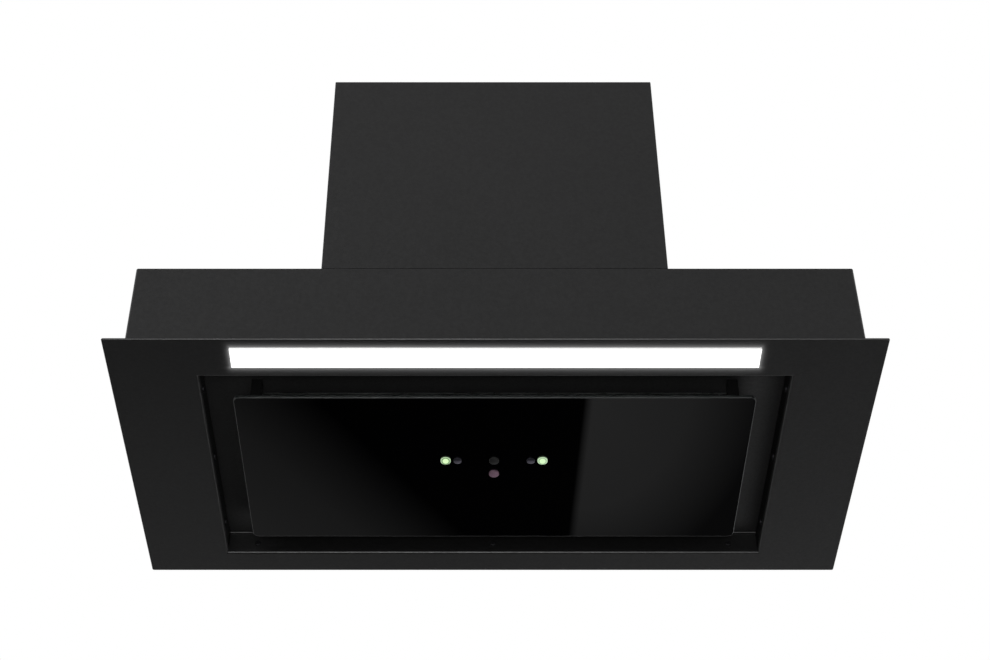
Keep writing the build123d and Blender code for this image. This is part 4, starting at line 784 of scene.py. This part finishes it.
def arched_leaf(low, high):
    """A bent strip that fills the box between two corners: it stands on both ends, and its middle is arched.

    Its section has four corners: two on an outer arc, and two on an inner one that is smaller by the
    thickness.
    """
    rise = high[2] - low[2]
    outer_y, outer_z = arc_points(low[1], high[1], rise, low[2])
    inner_start, inner_end = low[1] + LEAF_THICKNESS, high[1] - LEAF_THICKNESS
    inner_y, inner_z = arc_points(inner_start, inner_end, rise - LEAF_THICKNESS, low[2])
    x = np.broadcast_to([low[0], high[0], high[0], low[0]], (LEAF_STEPS, 4))
    y = np.stack((outer_y, outer_y, inner_y, inner_y), axis=-1)
    z = np.stack((outer_z, outer_z, inner_z, inner_z), axis=-1)
    return np.stack((x, y, z), axis=-1).reshape(-1, 3), tube_faces(LEAF_STEPS, 4)


for side in ("left", "right"):
    low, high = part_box(f"latch_spring_{side}")
    leaf = surface_piece(f"spring_leaf_{side}", [arched_leaf(low, high)], steel, "housing")
    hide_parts(f"latch_spring_{side}")
    length = high[1] - low[1]
    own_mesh(leaf)

# %% [markdown]
# ## Fan wheel
# The wheel is a stack of shapes about its axis. Its two rims and its pressed disc are profiles turned about
# X. Its 40 blades are strips of sheet with a curved cross-section: from the inner edge to the outer one the
# radius grows evenly, while the angle grows slowly at first and then faster, so the blade bends forwards as
# it nears the rim. As machined solids they would have far more faces than a piece of CAD should, so the wheel
# is made here instead.

# %% Places on the wheel
wheel_low, wheel_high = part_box("impeller")
wheel_y = (wheel_low[1] + wheel_high[1]) / 2
wheel_z = (wheel_low[2] + wheel_high[2]) / 2
wheel_radius = (wheel_high[1] - wheel_low[1]) / 2
wheel_end = wheel_high[0]


def wheel_point(x, radius, angle):
    """Points at a distance from the wheel's axis and an angle about it."""
    x, radius, angle = np.broadcast_arrays(x, radius, angle)
    return np.stack((x, wheel_y + radius * np.cos(angle), wheel_z + radius * np.sin(angle)), axis=-1)


print("wheel radius", round(wheel_radius * 1000, 1), "mm, half its width", round(wheel_end * 1000, 1), "mm")

# %% Rims and disc
WHEEL_TURN_STEPS = 96
# The section of a rim: how far each corner lies past the wheel's end and past its radius. All lie inside
# both, so no number is over 0
HEM = ((0.0, -0.0115), (0.0, -0.0008), (-0.0006, 0.0), (-0.0024, 0.0), (-0.003, -0.0006), (-0.0024, -0.0012),
       (-0.0009, -0.0014), (-0.0007, -0.0115))
# The section of the hub, as places along the axis and radii
HUB = ((-0.0005, 0.0118), (-0.009, 0.0112), (-0.010, 0.010), (-0.010, 0.0041),
       (0.010, 0.0041), (0.010, 0.010), (0.009, 0.0112), (0.0005, 0.0118))
HALF_SHEET = 0.0005
DISC_START = 0.0125
DISC_STEPS = 30
RING_RADIUS, RING_WIDTH, RING_RISE = 0.040, 0.006, 0.0022
BLADE_DEPTH = 0.0108


def turned(profile):
    """A closed profile of (x, radius) points, turned about the wheel's axis."""
    profile = np.array(profile)
    angle = np.linspace(0, 2 * math.pi, WHEEL_TURN_STEPS, endpoint=False)[:, None]
    points = wheel_point(profile[:, 0], profile[:, 1], angle).reshape(-1, 3)
    return points, ring_faces(WHEEL_TURN_STEPS, len(profile), close_rings=True)


def rim(side):
    """A hemmed ring at one end, -1 or 1: the sheet is folded over at its outer edge."""
    return turned([(side * (wheel_end + along), wheel_radius + out) for along, out in HEM])


def pressed_disc():
    """The middle disc with its hub.

    A ring is pressed out of it halfway, to stiffen it: its rise is a bell curve of the radius.
    """
    radius = np.linspace(DISC_START, wheel_radius - BLADE_DEPTH, DISC_STEPS)
    ring = RING_RISE * np.exp(-(((radius - RING_RADIUS) / RING_WIDTH) ** 2))
    upper = np.column_stack((HALF_SHEET + ring, radius))
    lower = np.column_stack((-HALF_SHEET + ring, radius))[::-1]
    return turned(np.concatenate((upper, lower, HUB)))


# %% Blades and rivets
BLADES = 40
BLADE_CHORD = 0.0102
BLADE_HALF_SHEET = 0.0004
BLADE_SWEEP = math.radians(6.4)
EVEN_SHARE = 0.3
BLADE_STEPS = 7
RIM_SHEET = 0.0008
RIVETS = 6
RIVET_CIRCLE = 0.019
RIVET_RADIUS, RIVET_RISE = 0.0019, 0.0012
RIVET_TOP = math.radians(83)


def blade(number):
    """One curved blade between the rims, a strip of sheet that is closed at both ends.

    Over the way out, its angle grows by the sweep: `EVEN_SHARE` of that evenly, and the rest with the square
    of the way.
    """
    share = np.linspace(0, 1, BLADE_STEPS)
    radius = wheel_radius - BLADE_DEPTH + share * BLADE_CHORD
    bend = -BLADE_SWEEP / 2 + BLADE_SWEEP * (EVEN_SHARE * share + (1 - EVEN_SHARE) * share**2)
    half = BLADE_HALF_SHEET / radius
    start = 2 * math.pi * number / BLADES
    section_radius = np.concatenate((radius, radius[::-1]))
    section_angle = start + np.concatenate((bend + half, (bend - half)[::-1]))
    ends = np.array([-1.0, 1.0])[:, None] * (wheel_end - RIM_SHEET)
    points = wheel_point(ends, section_radius, section_angle).reshape(-1, 3)
    return points, tube_faces(len(ends), len(section_radius))


def rivet(number):
    """A domed rivet head beside the hub: half a ball, pressed a little flat, with a face at its foot and top.

    Up the dome, the height goes with the sine of the slope and the distance from its middle with the cosine.
    """
    rows, columns = 6, 16
    slope = np.linspace(0, RIVET_TOP, rows)[:, None]
    around = np.linspace(0, 2 * math.pi, columns, endpoint=False)
    out = RIVET_RADIUS * np.cos(slope)
    dome = np.broadcast_arrays(RIVET_RISE * np.sin(slope), out * np.cos(around), out * np.sin(around))
    centre = wheel_point(HALF_SHEET, RIVET_CIRCLE, 2 * math.pi * number / RIVETS)
    return (centre + np.stack(dome, axis=-1)).reshape(-1, 3), tube_faces(rows, columns)


# %% Join the wheel
wheel_parts = [rim(-1), rim(1), pressed_disc()]
wheel_parts += [blade(number) for number in range(BLADES)]
wheel_parts += [rivet(number) for number in range(RIVETS)]
fan = surface_piece("fan_blade_wheel", wheel_parts, zinc, "fan_wheel")
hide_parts("impeller", "impeller_blades")
print("fan wheel", len(wheel_parts), "parts,", len(fan.data.vertices), "points")

# %% [markdown]
# ## Studio
# The background is plain white and the light soft. A white world does both: it is full white where the camera
# sees it, in reflections and through glass, and nearly dark as a light, because the lamps below do that work.

# %% World
WORLD_LIGHT = 0.01

world = bpy.data.worlds.new("studio")
scene.world = world
world.use_nodes = True
world_tree = world.node_tree
background = world_tree.nodes["Background"]
fill_socket(world_tree, background.inputs["Color"], (1.0, 1.0, 1.0))
rays = add_node(world_tree, "ShaderNodeLightPath").outputs
seen = combine(world_tree, "MAXIMUM", rays["Is Camera Ray"], rays["Is Glossy Ray"])
seen_through = combine(world_tree, "MAXIMUM", seen, rays["Is Transmission Ray"])
world_level = remap(world_tree, seen_through, 0.0, 1.0, WORLD_LIGHT, 1.0)
fill_socket(world_tree, background.inputs["Strength"], world_level)
print("world light", WORLD_LIGHT)

# %% [markdown]
# ## Lamps
# One broad lamp from the front left gives the front faces their tone. A weaker one from below, behind on the
# right, lights the underside, which stays darker than they are. Neither shows in reflections, so the coat
# looks matt.


# %% Lamps
def hide_from(thing, *rays):
    """Make a lamp or a card invisible to some kinds of rays, such as camera or glossy ones."""
    for ray in rays:
        setattr(thing, f"visible_{ray}", False)


def area_lamp(name, place, target, size, power):
    """A soft rectangular lamp at `place`, `size` wide and high, that looks at `target`.

    Its turn and its tilt are the arctangents of the way there.
    """
    data = bpy.data.lights.new(name, "AREA")
    data.shape = "RECTANGLE"
    data.size, data.size_y = size
    data.energy = power
    lamp = bpy.data.objects.new(name, data)
    lamp.location = place
    direction = np.array(target, float) - np.array(place, float)
    yaw = math.atan2(direction[1], direction[0]) - math.pi / 2
    pitch = math.atan2(direction[2], math.hypot(direction[0], direction[1])) + math.pi / 2
    lamp.rotation_euler = (pitch, 0, yaw)
    scene.collection.objects.link(lamp)
    return lamp


key_lamp = area_lamp("key_lamp", place=(-0.5, -1.3, 0.15), target=(0, 0, 0.1), size=(0.6, 0.6), power=14.6)
under_lamp = area_lamp("under_lamp", place=(0.5, 0.45, -0.6), target=(0, 0, 0), size=(0.6, 0.6), power=4.4)
for lamp in (key_lamp, under_lamp):
    hide_from(lamp, "camera", "glossy")
    print(lamp.name, round(lamp.data.energy, 1), "W")

# %% [markdown]
# ## Lamp at the camera
# Folded edges, chamfers and the ground edge of the glass draw thin pale lines in the picture. They are bright
# where the surface faces the camera, so a soft box must hang close beside the camera. The flat faces turn
# away from it, and stay dark. The box is hidden from diffuse rays, so it draws highlights and doesn't light
# the coat's colour.

# %% Lamp at the camera
camera_lamp = area_lamp(
    "camera_lamp", place=(-0.1, -1.6, -1.2), target=(0, 0, 0), size=(0.8, 0.5), power=36.0
)
hide_from(camera_lamp, "camera", "diffuse")
print("camera lamp", round(camera_lamp.data.energy, 1), "W")

# %% [markdown]
# ## Glow around the light strip
# The diffuser stands 2 mm proud of the panel, so its sides throw light along the steel, and the panel glows
# close to them. Four flat lamps stand for these sides. Each is as long as its side, covers the three quarters
# of its height that are next to the panel, and looks outwards.

# %% Glow around the light strip
REAR_RADIANCE = 34.0
FRONT_RADIANCE = 0.2
END_RADIANCE = 4.0
SIDE_SHARE = 0.75
SIDE_GAP = 0.0001

side_height = SIDE_SHARE * (panel_level - strip_face)
side_level = panel_level - side_height / 2
strip_length, strip_width = SLOT_HIGH[0] - SLOT_LOW[0], SLOT_HIGH[1] - SLOT_LOW[1]
strip_y = (SLOT_LOW[1] + SLOT_HIGH[1]) / 2
for name, place, outwards, length, radiance in (
    ("glow_front", (0.0, SLOT_LOW[1] - SIDE_GAP), (0, -1), strip_length, FRONT_RADIANCE),
    ("glow_rear", (0.0, SLOT_HIGH[1] + SIDE_GAP), (0, 1), strip_length, REAR_RADIANCE),
    ("glow_left", (SLOT_LOW[0] - SIDE_GAP, strip_y), (-1, 0), strip_width, END_RADIANCE),
    ("glow_right", (SLOT_HIGH[0] + SIDE_GAP, strip_y), (1, 0), strip_width, END_RADIANCE),
):
    target = (place[0] + outwards[0], place[1] + outwards[1], side_level)
    power = radiance * math.pi * length * side_height
    glow = area_lamp(name, (*place, side_level), target, (length, side_height), power)
    hide_from(glow, "camera")
    print(name, round(power, 4), "W")

# %% [markdown]
# ## Reflection cards
# Black glass shows whatever stands opposite. In a studio one hangs cards there, out of the camera's sight:
# here a dark one below, with a grey part whose edge draws a line across the glass, and an even grey one in
# front. They are only seen in reflections, and throw no light and no shadow on the rest.


# %% Cards
def flat_card(name, width, depth, centre, pitch=0.0):
    """A rectangle of four corners, turned about X by `pitch` degrees and moved to `centre`.

    It is hidden from the camera and throws no light or shadow, so it is seen in reflections alone.
    """
    corners = np.array([[-1, -1, 0], [1, -1, 0], [1, 1, 0], [-1, 1, 0]], float) * (width / 2, depth / 2, 0)
    cosine, sine = math.cos(math.radians(pitch)), math.sin(math.radians(pitch))
    corners = corners @ np.array([[1, 0, 0], [0, cosine, sine], [0, -sine, cosine]]) + np.array(centre)
    mesh = bpy.data.meshes.new(name)
    mesh.from_pydata(corners.tolist(), [], [(0, 1, 2, 3)])
    card = bpy.data.objects.new(name, mesh)
    scene.collection.objects.link(card)
    hide_from(card, "camera", "diffuse", "shadow", "transmission")
    return card


def glow_material(name):
    """A material that only gives out light, its node tree, and the socket for the strength of that light."""
    material = bpy.data.materials.new(name)
    material.use_nodes = True
    tree = material.node_tree
    tree.nodes.clear()
    emission = add_node(tree, "ShaderNodeEmission")
    output = add_node(tree, "ShaderNodeOutputMaterial")
    tree.links.new(emission.outputs[0], output.inputs["Surface"])
    return material, tree, emission.inputs["Strength"]


# %% [markdown]
# ## The card below
# Its grey part has a sharp left edge that leans a little, and fades with the distance from its near corner.
# At its left there is no edge: the card brightens slowly along a diagonal, towards the left and away from the
# camera.

# %% The card below
EDGE_X = 0.1375
EDGE_LEAN = 0.033
EDGE_SOFTNESS = 0.011
CORNER_X, CORNER_Y = 0.12, 0.52
CORNER_STRETCH = 0.54
CORE_RADIUS, FADE_RADIUS = 0.12, 0.215
CORE_LIGHT, FIELD_LIGHT, FADED_LIGHT = 0.06, 0.2, 0.03
DIAGONAL_LEAN = 0.64
DIAGONAL_START, DIAGONAL_MIDDLE, DIAGONAL_END = -0.54, -0.68, -0.8
MIDDLE_LIGHT, END_LIGHT = 0.125, 0.04

low_card = flat_card("low_card", width=2.4, depth=2.2, centre=(0.0, 0.75, -0.5))
low_glow, low_tree, low_strength = glow_material("low_card_glow")
across, away, _ = position_parts(low_tree)
from_edge = add_values(low_tree, across, multiply(low_tree, away, EDGE_LEAN))
right_part = remap(low_tree, from_edge, EDGE_X - EDGE_SOFTNESS / 2, EDGE_X + EDGE_SOFTNESS / 2, 0.0, 1.0)
corner_x = add_values(low_tree, across, -CORNER_X)
corner_y = multiply(low_tree, add_values(low_tree, away, -CORNER_Y), CORNER_STRETCH)
from_corner = diagonal_length(low_tree, corner_x, corner_y)
core_fade = remap(low_tree, from_corner, 0.0, CORE_RADIUS, CORE_LIGHT, 0.0)
far_fade = remap(low_tree, from_corner, CORE_RADIUS, FADE_RADIUS, FIELD_LIGHT, FADED_LIGHT)
right_level = multiply(low_tree, right_part, add_values(low_tree, core_fade, far_fade))
diagonal = add_values(low_tree, across, multiply(low_tree, away, -DIAGONAL_LEAN))
left_level = add_values(
    low_tree,
    remap(low_tree, diagonal, DIAGONAL_MIDDLE, DIAGONAL_START, MIDDLE_LIGHT, 0.0),
    remap(low_tree, diagonal, DIAGONAL_END, DIAGONAL_MIDDLE, END_LIGHT, 0.0),
)
fill_socket(low_tree, low_strength, add_values(low_tree, right_level, left_level))
low_card.data.materials.append(low_glow)
print("low card's field at", FIELD_LIGHT, "fades to", FADED_LIGHT)

# %% [markdown]
# ## The card in front
# The front faces of both housings and of the panel reflect what hangs above, in front. An even grey card
# there keeps the white background out of them. It gives one strength of light all over, so that number is
# typed into its socket.

# %% The card in front
FRONT_CARD_LIGHT = 0.3

front_card = flat_card("front_card", width=3.0, depth=2.4, centre=(0.0, -1.5, 1.3), pitch=45)
front_glow, front_tree, front_strength = glow_material("front_card_glow")
fill_socket(front_tree, front_strength, FRONT_CARD_LIGHT)
front_card.data.materials.append(front_glow)
print("front card at", FRONT_CARD_LIGHT)
